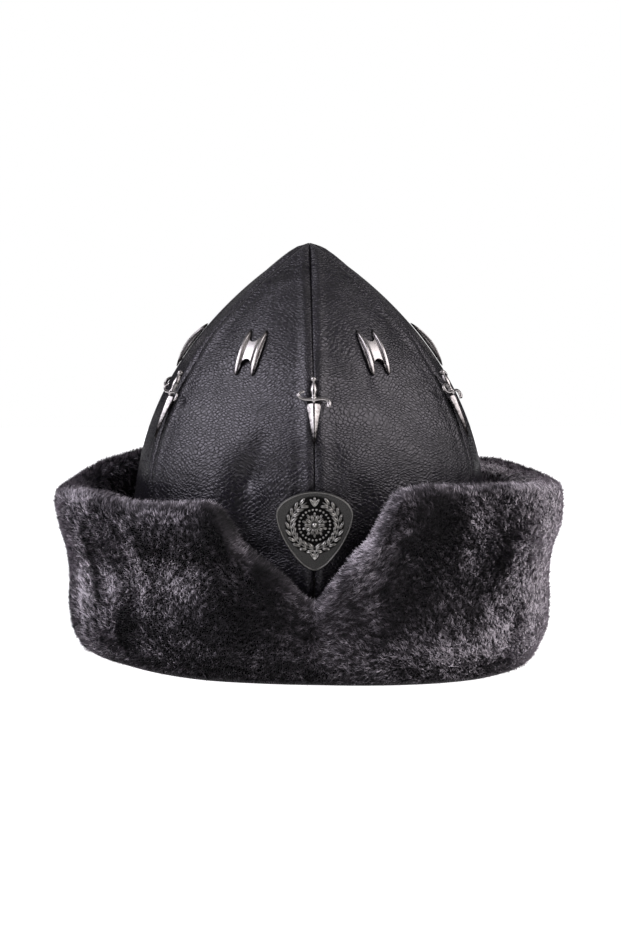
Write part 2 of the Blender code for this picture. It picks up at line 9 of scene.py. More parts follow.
import bpy
import numpy as np
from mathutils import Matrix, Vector


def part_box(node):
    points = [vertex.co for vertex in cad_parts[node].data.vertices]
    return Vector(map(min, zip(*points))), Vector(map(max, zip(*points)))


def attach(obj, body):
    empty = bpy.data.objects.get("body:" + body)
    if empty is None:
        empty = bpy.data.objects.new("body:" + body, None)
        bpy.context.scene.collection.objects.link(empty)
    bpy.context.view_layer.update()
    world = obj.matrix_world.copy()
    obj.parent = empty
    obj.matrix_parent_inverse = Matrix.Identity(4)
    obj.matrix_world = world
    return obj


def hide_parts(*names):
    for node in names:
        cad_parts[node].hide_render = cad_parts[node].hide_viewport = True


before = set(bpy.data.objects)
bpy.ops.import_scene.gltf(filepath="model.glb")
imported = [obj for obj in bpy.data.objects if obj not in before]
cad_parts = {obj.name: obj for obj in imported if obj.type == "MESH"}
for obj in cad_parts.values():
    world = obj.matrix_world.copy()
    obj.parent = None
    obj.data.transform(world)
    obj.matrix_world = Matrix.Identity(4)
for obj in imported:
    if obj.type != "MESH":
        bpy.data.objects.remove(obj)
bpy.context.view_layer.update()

# Crown. Six gores of pebbled black cowhide, 2.5 mm thick, are sewn face to face and turned out, so
# each seam is a narrow groove between two softly puffed edges. The leather has given way in a
# few long hollows on the front, and its brown flesh side shows inside.

MM = 0.001
CROWN_R = 95.0 * MM
SPRING_Z = 63.0 * MM
APEX_Z = 218.6 * MM
DOME_P = 2.27
DOME_Q = 0.88
HEM_Z = 3.0 * MM
LEATHER = 2.5 * MM
GORES = 6
SEAM_GAP = 0.1 * MM
GROOVE_DEPTH = 0.85 * MM
GROOVE_WIDTH = 0.9 * MM
GROOVE_FULL_R = 6.0 * MM
PUFF_HEIGHT = 1.1 * MM
PUFF_OFFSET = 3.6 * MM
PUFF_WIDTH = 2.6 * MM
PUCKER_HEIGHT = 0.16 * MM
PUCKER_PITCH = 5.2 * MM
TIP_R = 0.8 * MM
SMOOTH_BELOW_Z = 26.0 * MM
SEAMED_ABOVE_Z = 46.0 * MM
GORE_COLUMNS = 49
GORE_ROWS = 92

# How far the crown's section has gone from a circle to a hexagon, below 0 the other way:
# (height_mm, share).
HEXAGON = np.array([
    (0, 0.0), (26, 0.0), (63, 0.10), (88, 0.30), (103, 0.50), (158, 0.50), (178, 0.25),
    (196, -0.2), (208, -0.8), (220, -1.0),
])
# Hollows in the panels and soft valleys along the seams, each from one place to another:
# (from_azimuth, from_mm, to_azimuth, to_mm, width_mm, depth_mm).
HOLLOWS = (
    (-18.0, 119, -23.0, 102, 5.0, 2.0),
    (-22.5, 102, -21.0, 66, 10.5, 5.0),
    (-12.0, 104, -12.0, 66, 10.0, 3.2),
    (-4.0, 108, -3.0, 90, 8.0, 2.0),
    (-4.5, 118, -5.0, 84, 3.2, 0.8),
    (0.5, 114, 0.5, 66, 6.0, 2.0),
    (6.5, 113, 6.5, 76, 4.5, 0.8),
    (14.0, 92, 16.0, 66, 9.0, 1.4),
    (22.0, 152, 24.0, 140, 3.5, 0.8),
    (27.0, 158, 20.0, 146, 1.6, 0.5),
    (-60.0, 158, -60.0, 60, 7.0, 2.2),
    (60.0, 158, 60.0, 60, 7.0, 2.2),
)
GORE_MIDDLES = {
    "front_left": -30, "front_right": 30, "side_right": 90,
    "back_right": 150, "back_left": -150, "side_left": -90,
}


def dome_radius(z):
    """R (1 - u^P)^Q, where u runs from 0 at the spring line to 1 at the apex, and R below that."""
    u = np.clip((np.asarray(z, float) - SPRING_Z) / (APEX_Z - SPRING_Z), 0.0, 1.0)
    return CROWN_R * (1.0 - u**DOME_P) ** DOME_Q


def hexagon_share(z):
    """The table's share at each height, straight between its rows."""
    return np.interp(z, HEXAGON[:, 0] * MM, HEXAGON[:, 1])


def meridian(rows, inset):
    """Radius, height and slope of rows points, evenly spaced up the middle of a gore.

    The dome's profile is read at many heights, moved in by inset along its normal, cut off at
    the tip and resampled by its arc length."""
    z = SPRING_Z + (APEX_Z - SPRING_Z) * np.sin(np.linspace(0.0, math.pi / 2, 2000))
    r = dome_radius(z)
    slope = np.arctan2(-np.gradient(r), np.gradient(z))
    slope[0] = 0.0
    r, z = r - inset * np.cos(slope), z - inset * np.sin(slope)
    kept = r > TIP_R * (1.0 if inset == 0 else 0.6)
    r = np.concatenate([[CROWN_R - inset], r[kept]])
    z = np.concatenate([[HEM_Z], z[kept]])
    slope = np.concatenate([[0.0], slope[kept]])
    length = np.concatenate([[0.0], np.cumsum(np.hypot(np.diff(r), np.diff(z)))])
    even = np.linspace(0.0, length[-1], rows)
    return [np.interp(even, length, values) for values in (r, z, slope, length)]


def hollow_depth(azimuth, z):
    """Sum over the hollows of depth * exp(-(d / width)^2), d the distance to the hollow's line."""
    x, y = np.radians(azimuth) * CROWN_R / MM, z / MM
    total = np.zeros(np.broadcast(x, y).shape)
    for from_azimuth, y0, to_azimuth, y1, width, depth in HOLLOWS:
        x0, x1 = (math.radians(a) * CROWN_R / MM for a in (from_azimuth, to_azimuth))
        run = np.array([x1 - x0, y1 - y0])
        share = np.clip(((x - x0) * run[0] + (y - y0) * run[1]) / run.dot(run), 0.0, 1.0)
        apart = np.hypot(x - x0 - share * run[0], y - y0 - share * run[1])
        total += depth * MM * np.exp(-((apart / width) ** 2))
    return total


def gore_skin(middle, inset):
    """One face of a gore, as (points, hide): a point for each row and column, and its place in mm
    on the flat leather.

    Around the crown the reach is r (1 + h (1 / cos t - 1)), t the angle from the gore's middle
    and h the hexagon's share. The seam's relief is added along the normal: a round-shouldered
    groove -G (1 - d / w)^2 at the distance d from the edge, a puff P exp(-((d - o) / w)^2), and
    on the puff the small puckers that the stitches draw in."""
    r, z, slope, length = (values[:, None] for values in meridian(GORE_ROWS, inset))
    half = math.pi / GORES
    share = np.linspace(-1.0, 1.0, GORE_COLUMNS)
    share = np.sign(share) * (1.0 - (1.0 - np.abs(share)) ** 1.7)
    hexagon = hexagon_share(z)
    corner_r = r * (1.0 + hexagon * (1.0 / math.cos(half) - 1.0))
    edge = half - np.arcsin(np.minimum(0.9, SEAM_GAP / 2 / corner_r))
    turn = edge * share
    reach = r * (1.0 + hexagon * (1.0 / np.cos(turn) - 1.0))
    apart = (edge - np.abs(turn)) * reach
    seamed = np.clip((z - SMOOTH_BELOW_Z) / (SEAMED_ABOVE_Z - SMOOTH_BELOW_Z), 0.0, 1.0)
    fade = np.minimum(1.0, r / GROOVE_FULL_R) * seamed
    groove = -GROOVE_DEPTH * np.clip(1.0 - apart / GROOVE_WIDTH, 0.0, 1.0) ** 2
    puff = PUFF_HEIGHT * np.exp(-(((apart - PUFF_OFFSET) / PUFF_WIDTH) ** 2))
    wave = np.sin(2 * math.pi * length / PUCKER_PITCH + 1.3 * np.sin(length / (9 * MM)) + middle)
    pucker = PUCKER_HEIGHT * wave * np.exp(-(((apart - GROOVE_WIDTH) / PUFF_WIDTH) ** 2))
    lift = (groove + puff + pucker) * fade if inset == 0 else groove * fade / 2
    azimuth = middle + np.degrees(turn)
    lift = lift - hollow_depth((azimuth + 180.0) % 360.0 - 180.0, z)
    out = reach + lift * np.cos(slope)
    points = np.stack([
        out * np.sin(np.radians(azimuth)),
        -out * np.cos(np.radians(azimuth)),
        z + lift * np.sin(slope) + 0.0 * turn,
    ], axis=-1)
    hide = np.stack([turn * reach / MM, length / MM + 0.0 * turn, middle + 0.0 * turn], axis=-1)
    return points, hide


def strip_quads(rings, around, closed):
    """Quads between rings that have around points each. Ring and point both count upwards."""
    first = np.arange(around if closed else around - 1)
    second = (first + 1) % around
    start = np.arange(rings - 1)[:, None] * around
    return np.stack([start + first, start + second, start + around + second, start + around + first],
                    axis=-1).reshape(-1, 4)


def new_piece(name, points, quads, material, replaced, values=None, triangles=None):
    """A mesh from whole arrays that rides on the hat's one body and stands for the CAD nodes.

    values maps an attribute's name to an array with a number or a vector for each point."""
    faces = quads.tolist() + ([] if triangles is None else triangles.tolist())
    mesh = bpy.data.meshes.new(name)
    mesh.from_pydata(points.reshape(-1, 3).tolist(), [], faces)
    mesh.polygons.foreach_set("use_smooth", np.ones(len(faces), bool))
    for label, array in (values or {}).items():
        kind = ("FLOAT", "value") if array.size == len(mesh.vertices) else ("FLOAT_VECTOR", "vector")
        mesh.attributes.new(label, kind[0], "POINT").data.foreach_set(
            kind[1], np.ascontiguousarray(array, np.float32).ravel())
    mesh.materials.append(material)
    piece = bpy.data.objects.new(name, mesh)
    bpy.context.scene.collection.objects.link(piece)
    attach(piece, "root")
    if replaced:
        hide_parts(*replaced)
    return piece


def node_kit(name):
    """A new material's shader, and short calls that add a node to it and link two sockets."""
    made = bpy.data.materials.new(name)
    made.use_nodes = True
    tree = made.node_tree

    def add(kind, settings=None, **inputs):
        """A node. Each input is a value or a socket to link, by its name or as _ and its number."""
        node = tree.nodes.new(kind)
        for key, value in (settings or {}).items():
            setattr(node, key, value)
        for key, value in inputs.items():
            socket = node.inputs[int(key[1:])] if key[0] == "_" else node.inputs[key]
            if isinstance(value, bpy.types.NodeSocket):
                tree.links.new(value, socket)
            else:
                socket.default_value = value
        return node

    return made, tree.nodes["Principled BSDF"], add, tree.links.new


def ramp(add, fac, *stops):
    """A colour ramp: each stop is (position, colour)."""
    node = add("ShaderNodeValToRGB", _0=fac)
    while len(node.color_ramp.elements) < len(stops):
        node.color_ramp.elements.new(0.5)
    for element, (position, colour) in zip(node.color_ramp.elements, stops):
        element.position = position
        element.color = (*colour, 1.0)
    return node.outputs["Color"]


GRAIN_ACROSS = 3.2
GRAIN_UP = 0.92
GRAIN_DEPTH = 0.15 * MM


def pebbled_leather():
    """Black grain leather: rows of pebbles wider than they are tall, each row half a pebble on.

    The pebbles are cells on the flat hide, which is stretched and turned by 45 degrees for the
    offset rows, and pushed about by noise. Their height is a dome 0.75 - 1.5 d^2, d the distance
    from the cell's middle, and a smoothstep half as high that falls off at the cell's edge."""
    made, shader, add, link = node_kit("pebbled_leather")
    hide = add("ShaderNodeAttribute", {"attribute_name": "hide"}).outputs["Vector"]
    sway = add("ShaderNodeTexNoise", Vector=hide, Scale=0.035, Detail=1.0)
    swayed = add("ShaderNodeVectorMath", {"operation": "MULTIPLY_ADD"},
                 _0=sway.outputs["Color"], _1=(8.0, 18.0, 0.0), _2=hide)
    jostle = add("ShaderNodeTexNoise", Vector=hide, Scale=0.25, Detail=1.0)
    jostled = add("ShaderNodeVectorMath", {"operation": "MULTIPLY_ADD"},
                  _0=jostle.outputs["Color"], _1=(2.4, 1.2, 0.0), _2=swayed.outputs[0])
    rows = add("ShaderNodeMapping", Vector=jostled.outputs[0], Rotation=(0.0, 0.0, math.pi / 4),
               Scale=(math.sqrt(2.0) / GRAIN_ACROSS, math.sqrt(0.5) / GRAIN_UP, 1.0)).outputs[0]
    cells = add("ShaderNodeTexVoronoi", {"feature": "F1"}, Vector=rows, Scale=1.0, Randomness=0.62)
    edges = add("ShaderNodeTexVoronoi", {"feature": "DISTANCE_TO_EDGE"}, Vector=rows, Scale=1.0,
                Randomness=0.62)
    shoulder = add("ShaderNodeMapRange", {"interpolation_type": "SMOOTHSTEP"},
                   Value=edges.outputs["Distance"], **{"From Max": 0.20})
    squared = add("ShaderNodeMath", {"operation": "POWER"}, _0=cells.outputs["Distance"], _1=2.0)
    dome = add("ShaderNodeMath", {"operation": "MULTIPLY_ADD"}, _0=squared.outputs[0], _1=-1.5, _2=0.75)
    grain = add("ShaderNodeMath", {"operation": "MULTIPLY_ADD"},
                _0=shoulder.outputs[0], _1=0.5, _2=dome.outputs[0])
    fine = add("ShaderNodeTexNoise", Vector=rows, Scale=3.0, Detail=3.0)
    height = add("ShaderNodeMath", {"operation": "MULTIPLY_ADD"},
                 _0=fine.outputs["Fac"], _1=0.15, _2=grain.outputs[0])
    bump = add("ShaderNodeBump", Strength=1.0, Distance=GRAIN_DEPTH, Height=height.outputs[0])
    link(bump.outputs[0], shader.inputs["Normal"])
    # Painted shade: the colour is a wear noise times the grain's height, so the creases between the pebbles
    # are painted darker and the pebble tops lighter.
    wear = add("ShaderNodeTexNoise", Vector=hide, Scale=0.045, Detail=3.0)
    painted_shade_and_mottle = add("ShaderNodeMath", {"operation": "MULTIPLY"}, _0=wear.outputs["Fac"], _1=grain.outputs[0])
    colour = ramp(add, painted_shade_and_mottle.outputs[0], (0.15, (0.002, 0.002, 0.0025)), (0.6, (0.0115, 0.0102, 0.0142)))
    link(colour, shader.inputs["Base Color"])
    rough = add("ShaderNodeMapRange", Value=grain.outputs[0], **{"To Min": 0.44, "To Max": 0.27})
    link(rough.outputs[0], shader.inputs["Roughness"])
    shader.inputs["Specular IOR Level"].default_value = 0.42
    shader.inputs["Specular Tint"].default_value = (0.98, 0.93, 1.0, 1.0)
    return made


def flesh_side():
    """The napped inside of the leather, dark brown and dull."""
    made, shader, add, link = node_kit("leather_flesh_side")
    hide = add("ShaderNodeAttribute", {"attribute_name": "hide"}).outputs["Vector"]
    nap = add("ShaderNodeTexNoise", Vector=hide, Scale=1.4, Detail=6.0, Roughness=0.7)
    colour = ramp(add, nap.outputs["Fac"], (0.3, (0.020, 0.015, 0.012)), (0.7, (0.052, 0.040, 0.033)))
    link(colour, shader.inputs["Base Color"])
    bump = add("ShaderNodeBump", Strength=0.6, Distance=0.15 * MM, Height=nap.outputs["Fac"])
    link(bump.outputs[0], shader.inputs["Normal"])
    shader.inputs["Roughness"].default_value = 0.9
    return made


leather = pebbled_leather()
flesh = flesh_side()
for place, middle in GORE_MIDDLES.items():
    outer, outer_hide = gore_skin(middle, 0.0)
    inner, inner_hide = gore_skin(middle, LEATHER)
    wall = np.concatenate([outer, inner[:, ::-1]], axis=1)
    hide = np.concatenate([outer_hide, inner_hide[:, ::-1]], axis=1)
    loop = 2 * GORE_COLUMNS
    sides = strip_quads(GORE_ROWS, loop, closed=True)
    column = np.arange(GORE_COLUMNS - 1)
    hem = np.stack([column + 1, column, loop - 1 - column, loop - 2 - column], axis=-1)
    tip = hem[:, ::-1] + (GORE_ROWS - 1) * loop
    gore = new_piece(f"leather_gore_{place}", wall, np.concatenate([sides, hem, tip]), leather,
                     [f"crown_gore_{place}"], {"hide": hide})
    gore.data.materials.append(flesh)
    inside = np.zeros(len(gore.data.polygons), np.int32)
    inside[:len(sides)] = np.tile(np.arange(loop) >= GORE_COLUMNS, GORE_ROWS - 1)
    gore.data.polygons.foreach_set("material_index", inside)

# Fur cuff. A strip of sheared grey sheepskin is turned up round the crown, with its pile
# outwards, and its two ends slope away from each other over the front. The dark hide under
# the pile is one closed ring, and the pile is a dense field of bent tufts set into it.

# Height of the rim round the hat: (azimuth, height_mm).
RIM = np.array([
    (-180, 96), (-150, 97.5), (-132, 99.5), (-117, 96.5), (-100, 90), (-80, 90), (-64, 92.5),
    (-54, 90.5), (-38, 92), (-27, 94), (-23.5, 91), (-21, 84), (-19, 73.5), (-13.5, 65),
    (-7, 55.5), (-3.5, 47), (0.5, 43), (3.3, 51), (8.7, 66), (13.4, 78), (16.8, 92),
    (19.9, 100), (27, 102.5), (39, 101), (56, 98.5), (80, 94), (95, 92), (108, 92.5),
    (120, 95), (135, 94), (180, 96),
])
# Radius of the foot round the hat: (azimuth, radius_mm).
FOOT = np.array([
    (-180, 115), (-120, 117), (-87, 120), (-76, 116), (-60, 111), (-31, 109.5), (-15, 108),
    (0, 109.5), (8, 113), (22, 120), (30, 124), (40, 127), (53, 127), (74, 120), (90, 118),
    (130, 116), (180, 115),
])
# How far the side stands out from the foot: (height_mm, bulge_mm).
SIDE = np.array([
    (0, 0), (3.5, 3.0), (8, 6.0), (16, 8.5), (28, 9.5), (43, 9.5), (54, 11), (64, 14),
    (74, 17.5), (82, 17.5), (90, 15), (103, 13),
])
SIDE_SHARES = np.array([0.06, 0.17, 0.32, 0.49, 0.66, 0.83, 1.0])
EVEN_FOOT_R = 115.0 * MM
EVEN_SHARE = 0.5
EVEN_BY_Z = 74.0 * MM
RIM_ROUND = 9.0 * MM
FUR_THICK = 21.0 * MM
INNER_R = 95.3 * MM
CHANNEL_Z = 24.0 * MM
STATIONS = 900
SECTION_POINTS = 240
PILE_DEPTH = 3.2 * MM


def round_the_hat(table, azimuth, softness):
    """A table's value at each azimuth, averaged over neighbours up to softness degrees off."""
    offsets = np.linspace(-2.0, 2.0, 17)
    weights = np.exp(-(offsets**2))
    wrapped = (azimuth[:, None] + offsets * softness + 180.0) % 360.0 - 180.0
    return (np.interp(wrapped, table[:, 0], table[:, 1]) * weights).sum(1) / weights.sum() * MM


def smooth_loop(values, count):
    """A closed loop of values along axis 1, resampled to count points by cubics. A cubic's slope
    at each knot is half the step between that knot's neighbours."""
    knots = values.shape[1]
    place = np.arange(count) * knots / count
    k = place.astype(int)
    t = place - k
    a, b, c, d = (values[:, (k + step) % knots] for step in (-1, 0, 1, 2))
    return b + 0.5 * t * (c - a + t * (2 * a - 5 * b + 4 * c - d + t * (3 * (b - c) + d - a)))


def cuff_surface():
    """Points of the pile's outer surface, [station, section point], from the inner hem outwards.

    The section goes out along the floor, up a side that bulges by the side table, over a round
    rim and down inside to the channel next to the crown."""
    azimuth = np.arange(STATIONS) * 360.0 / STATIONS - 180.0
    rim = round_the_hat(RIM, azimuth, 0.9)[:, None]
    foot = round_the_hat(FOOT, azimuth, 4.0)[:, None]
    shoulder = rim - RIM_ROUND
    heights = shoulder * SIDE_SHARES
    evening = EVEN_SHARE * np.minimum(heights / EVEN_BY_Z, 1.0)
    outer = foot + evening * (EVEN_FOOT_R - foot) + np.interp(heights, *(SIDE.T * MM))
    thick = FUR_THICK * np.interp(rim, [43 * MM, 90 * MM], [0.8, 1.0])
    top_in = np.maximum(outer[:, -1:] - thick, INNER_R + 2 * MM)
    middle, half = (outer[:, -1:] + top_in) / 2, (outer[:, -1:] - top_in) / 2
    channel = np.minimum(CHANNEL_Z, 0.5 * shoulder)
    zero = np.zeros_like(rim)
    radii = np.concatenate([
        INNER_R + zero, (INNER_R + foot) / 2, foot, outer, middle + 0.72 * half, middle,
        middle - 0.72 * half, top_in, (top_in + INNER_R) / 2 + 1 * MM, INNER_R + 0.8 * MM + zero,
        INNER_R + zero,
    ], axis=1)
    levels = np.concatenate([
        zero, zero, zero, heights, rim - 0.27 * RIM_ROUND, rim, rim - 0.27 * RIM_ROUND,
        shoulder, (shoulder + channel) / 2, channel, channel / 2,
    ], axis=1)
    radii = np.maximum(smooth_loop(radii, SECTION_POINTS), INNER_R)
    levels = np.maximum(smooth_loop(levels, SECTION_POINTS), 0.0)
    turn = np.radians(azimuth)[:, None]
    points = np.stack([radii * np.sin(turn), -radii * np.cos(turn), levels], axis=-1)
    low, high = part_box("fur_cuff")
    for axis, sign, reach in ((0, 1, high.x), (0, -1, -low.x), (1, 1, high.y), (1, -1, -low.y)):
        edge = (points[..., axis] * sign).max()
        beyond = np.maximum(points[..., axis] * sign - CROWN_R, 0.0)
        points[..., axis] += sign * beyond * ((reach - CROWN_R) / (edge - CROWN_R) - 1.0)
    return azimuth, points


def unit(vectors):
    """The vectors, each divided by its length."""
    return vectors / np.maximum(np.linalg.norm(vectors, axis=-1, keepdims=True), 1e-9)


azimuths, outer_fur = cuff_surface()
round_way = unit(np.roll(outer_fur, -1, 0) - np.roll(outer_fur, 1, 0))
up_way = unit(np.roll(outer_fur, -1, 1) - np.roll(outer_fur, 1, 1))
out_way = unit(np.cross(round_way, up_way))
up_way = unit(np.cross(out_way, round_way))
section_share = np.arange(SECTION_POINTS) / SECTION_POINTS
KNOTS = 18
PILE_FROM = 2.0 / KNOTS
PILE_TO = 15.3 / KNOTS


def pile_cover(share):
    """1 where pile grows, from the foot's edge over the rim and part of the way down inside."""
    rise = np.clip((share - PILE_FROM) * 40.0, 0.0, 1.0)
    fall = np.clip((PILE_TO - share) * 14.0, 0.0, 1.0)
    return rise * fall


def right_inside(azimuth, share):
    """1 on the pile inside the cuff behind the crown's right side, where the pile stands up and its colour
    is lightened, a painted light.
    """
    inside = np.clip((share * KNOTS - 11.0) / 1.2, 0.0, 1.0)
    return inside * np.exp(-(((azimuth - 115.0) / 38.0) ** 2))


def pile_thickness(azimuth, share):
    """The share of tufts that grow: all of them outside, and fewer inside, where they lie dark."""
    inside = np.interp(share, [11.6 / KNOTS, 12.6 / KNOTS], [1.0, 0.45])
    return pile_cover(share) * (inside + 0.5 * right_inside(azimuth, share))


def hide_material():
    """The skin between the roots of the pile: nearly black, mottled and dull."""
    made, shader, add, link = node_kit("fur_skin")
    place = add("ShaderNodeTexCoord").outputs["Object"]
    mottle = add("ShaderNodeTexNoise", Vector=place, Scale=900.0, Detail=4.0, Roughness=0.7)
    colour = ramp(add, mottle.outputs["Fac"], (0.35, (0.004, 0.0035, 0.004)),
                  (0.7, (0.030, 0.027, 0.031)))
    link(colour, shader.inputs["Base Color"])
    bump = add("ShaderNodeBump", Strength=1.0, Distance=0.8 * MM, Height=mottle.outputs["Fac"])
    link(bump.outputs[0], shader.inputs["Normal"])
    shader.inputs["Roughness"].default_value = 0.95
    return made


sunk = outer_fur - out_way * (PILE_DEPTH * pile_cover(section_share)[None, :, None])
sunk[..., 2] = np.maximum(sunk[..., 2], 0.0)
skin_points = sunk[::3, ::3]
skin_quads = strip_quads(skin_points.shape[0], skin_points.shape[1], closed=True)
last_ring = (skin_points.shape[0] - 1) * skin_points.shape[1]
around = np.arange(skin_points.shape[1])
after = np.roll(around, -1)
join = np.stack([last_ring + around, last_ring + after, after, around], axis=-1)
skin_quads = np.concatenate([skin_quads, join])[:, ::-1]
new_piece("fur_cuff_skin", skin_points, skin_quads, hide_material(), ["fur_cuff"])

# The pile lies in patches, and its colour carries painted light and shade: each row makes it lighter or
# darker round one place, where the pile faces the light or lies in shade:
# (azimuth, height_mm, across_mm, up_mm, tone).
PILE_LIGHT_PATCHES = (
    (-47, 56, 7, 20, 0.50), (-60, 42, 7, 16, 0.40), (-70, 36, 5, 26, 0.30), (-65, 84, 8, 8, 0.30),
    (-44, 86, 22, 9, -0.18), (-34, 50, 16, 12, 0.28), (-20, 30, 26, 24, -0.35), (-76, 40, 5, 40, 0.35),
    (-66, 62, 4, 26, -0.40), (-54, 20, 10, 14, -0.30), (-45, 72, 5, 22, -0.25), (-85, 66, 8, 24, 0.30),
    (28, 84, 12, 18, -0.45), (12, 70, 7, 22, 0.35), (20, 40, 16, 18, -0.25), (38, 72, 10, 12, 0.15),
    (66, 84, 14, 22, 0.35), (52, 50, 9, 22, 0.45), (44, 24, 12, 12, 0.25), (52, 30, 5, 18, -0.30),
    (46, 56, 10, 10, -0.30), (4, 26, 8, 22, 0.15), (90, 60, 14, 40, 0.45),
    (110, 70, 12, 20, -0.30), (128, 40, 12, 26, 0.40), (150, 74, 16, 16, 0.35), (165, 34, 14, 20, -0.35),
    (-176, 62, 10, 28, 0.45), (-160, 30, 14, 16, 0.25), (-148, 76, 12, 14, -0.35), (-130, 52, 10, 30, 0.45),
    (-112, 78, 12, 14, 0.30), (-104, 30, 10, 20, -0.30), (72, 52, 34, 90, 1.30), (-76, 55, 30, 60, 0.08),
    (58, 18, 22, 20, 0.35), (2, 50, 44, 50, -0.14), (-23, 80, 9, 16, -0.60), (-12, 62, 9, 14, -0.55),
    (34, 14, 44, 13, 0.28),
)


def soft_noise(x, y, cell, seed):
    """Smooth noise from -1 to 1: random numbers on a lattice of this cell, blended by smoothstep."""
    rng = np.random.default_rng(seed)
    values = rng.uniform(-1.0, 1.0, (256, 256))
    gx, gy = x / cell, y / cell
    ix, iy = np.floor(gx).astype(int), np.floor(gy).astype(int)
    fx, fy = gx - ix, gy - iy
    fx, fy = fx * fx * (3 - 2 * fx), fy * fy * (3 - 2 * fy)
    a, b = values[ix % 256, iy % 256], values[(ix + 1) % 256, iy % 256]
    c, d = values[ix % 256, (iy + 1) % 256], values[(ix + 1) % 256, (iy + 1) % 256]
    return a + (b - a) * fx + (c - a) * fy + (a - b - c + d) * fx * fy


TUFTS_PER_PIECE = 88000
TUFT_LENGTH = 4.7 * MM
TUFT_WIDTH = 0.40 * MM
CLUMP = 1.3 * MM
CUFF_R = 0.12
SECTION_LENGTH = 0.27
# Lean of the nap round the hat: (azimuth, degrees).
NAP = np.array([
    (-180, -20), (-120, 24), (-70, 30), (-4, 38), (4, -40), (70, -52), (120, -35), (180, -20),
])
PILE_SECTORS = {"front": -45.0, "right": 45.0, "back": 135.0, "left": 225.0}


def pile_material():
    """Sheared pile: grey with a touch of violet, and a soft sheen. The colour is painted near black at
    the roots, for the shade deep in the pile, and lighter where the pile is seen aslant, a painted sheen."""
    made, shader, add, link = node_kit("sheared_pile")
    tone = add("ShaderNodeAttribute", {"attribute_name": "tone"}).outputs["Fac"]
    aslant = add("ShaderNodeLayerWeight", Blend=0.5).outputs["Facing"]
    # Painted sheen: the colour is darkened where the pile is seen face-on and lightened where it is seen
    # aslant.
    closed = add("ShaderNodeMath", {"operation": "MULTIPLY_ADD"}, _0=aslant, _1=0.95, _2=0.85)
    tone_with_painted_sheen = add("ShaderNodeMath", {"operation": "MULTIPLY"}, _0=tone, _1=closed.outputs[0])
    colour = ramp(add, tone_with_painted_sheen.outputs[0], (0.0, (0.004, 0.0035, 0.0043)), (0.3, (0.032, 0.0275, 0.0325)),
                  (0.65, (0.136, 0.121, 0.138)), (1.0, (0.58, 0.53, 0.58)))
    link(colour, shader.inputs["Base Color"])
    shader.inputs["Roughness"].default_value = 0.62
    shader.inputs["Specular IOR Level"].default_value = 0.14
    shader.inputs["Sheen Weight"].default_value = 0.1
    shader.inputs["Sheen Roughness"].default_value = 0.45
    return made


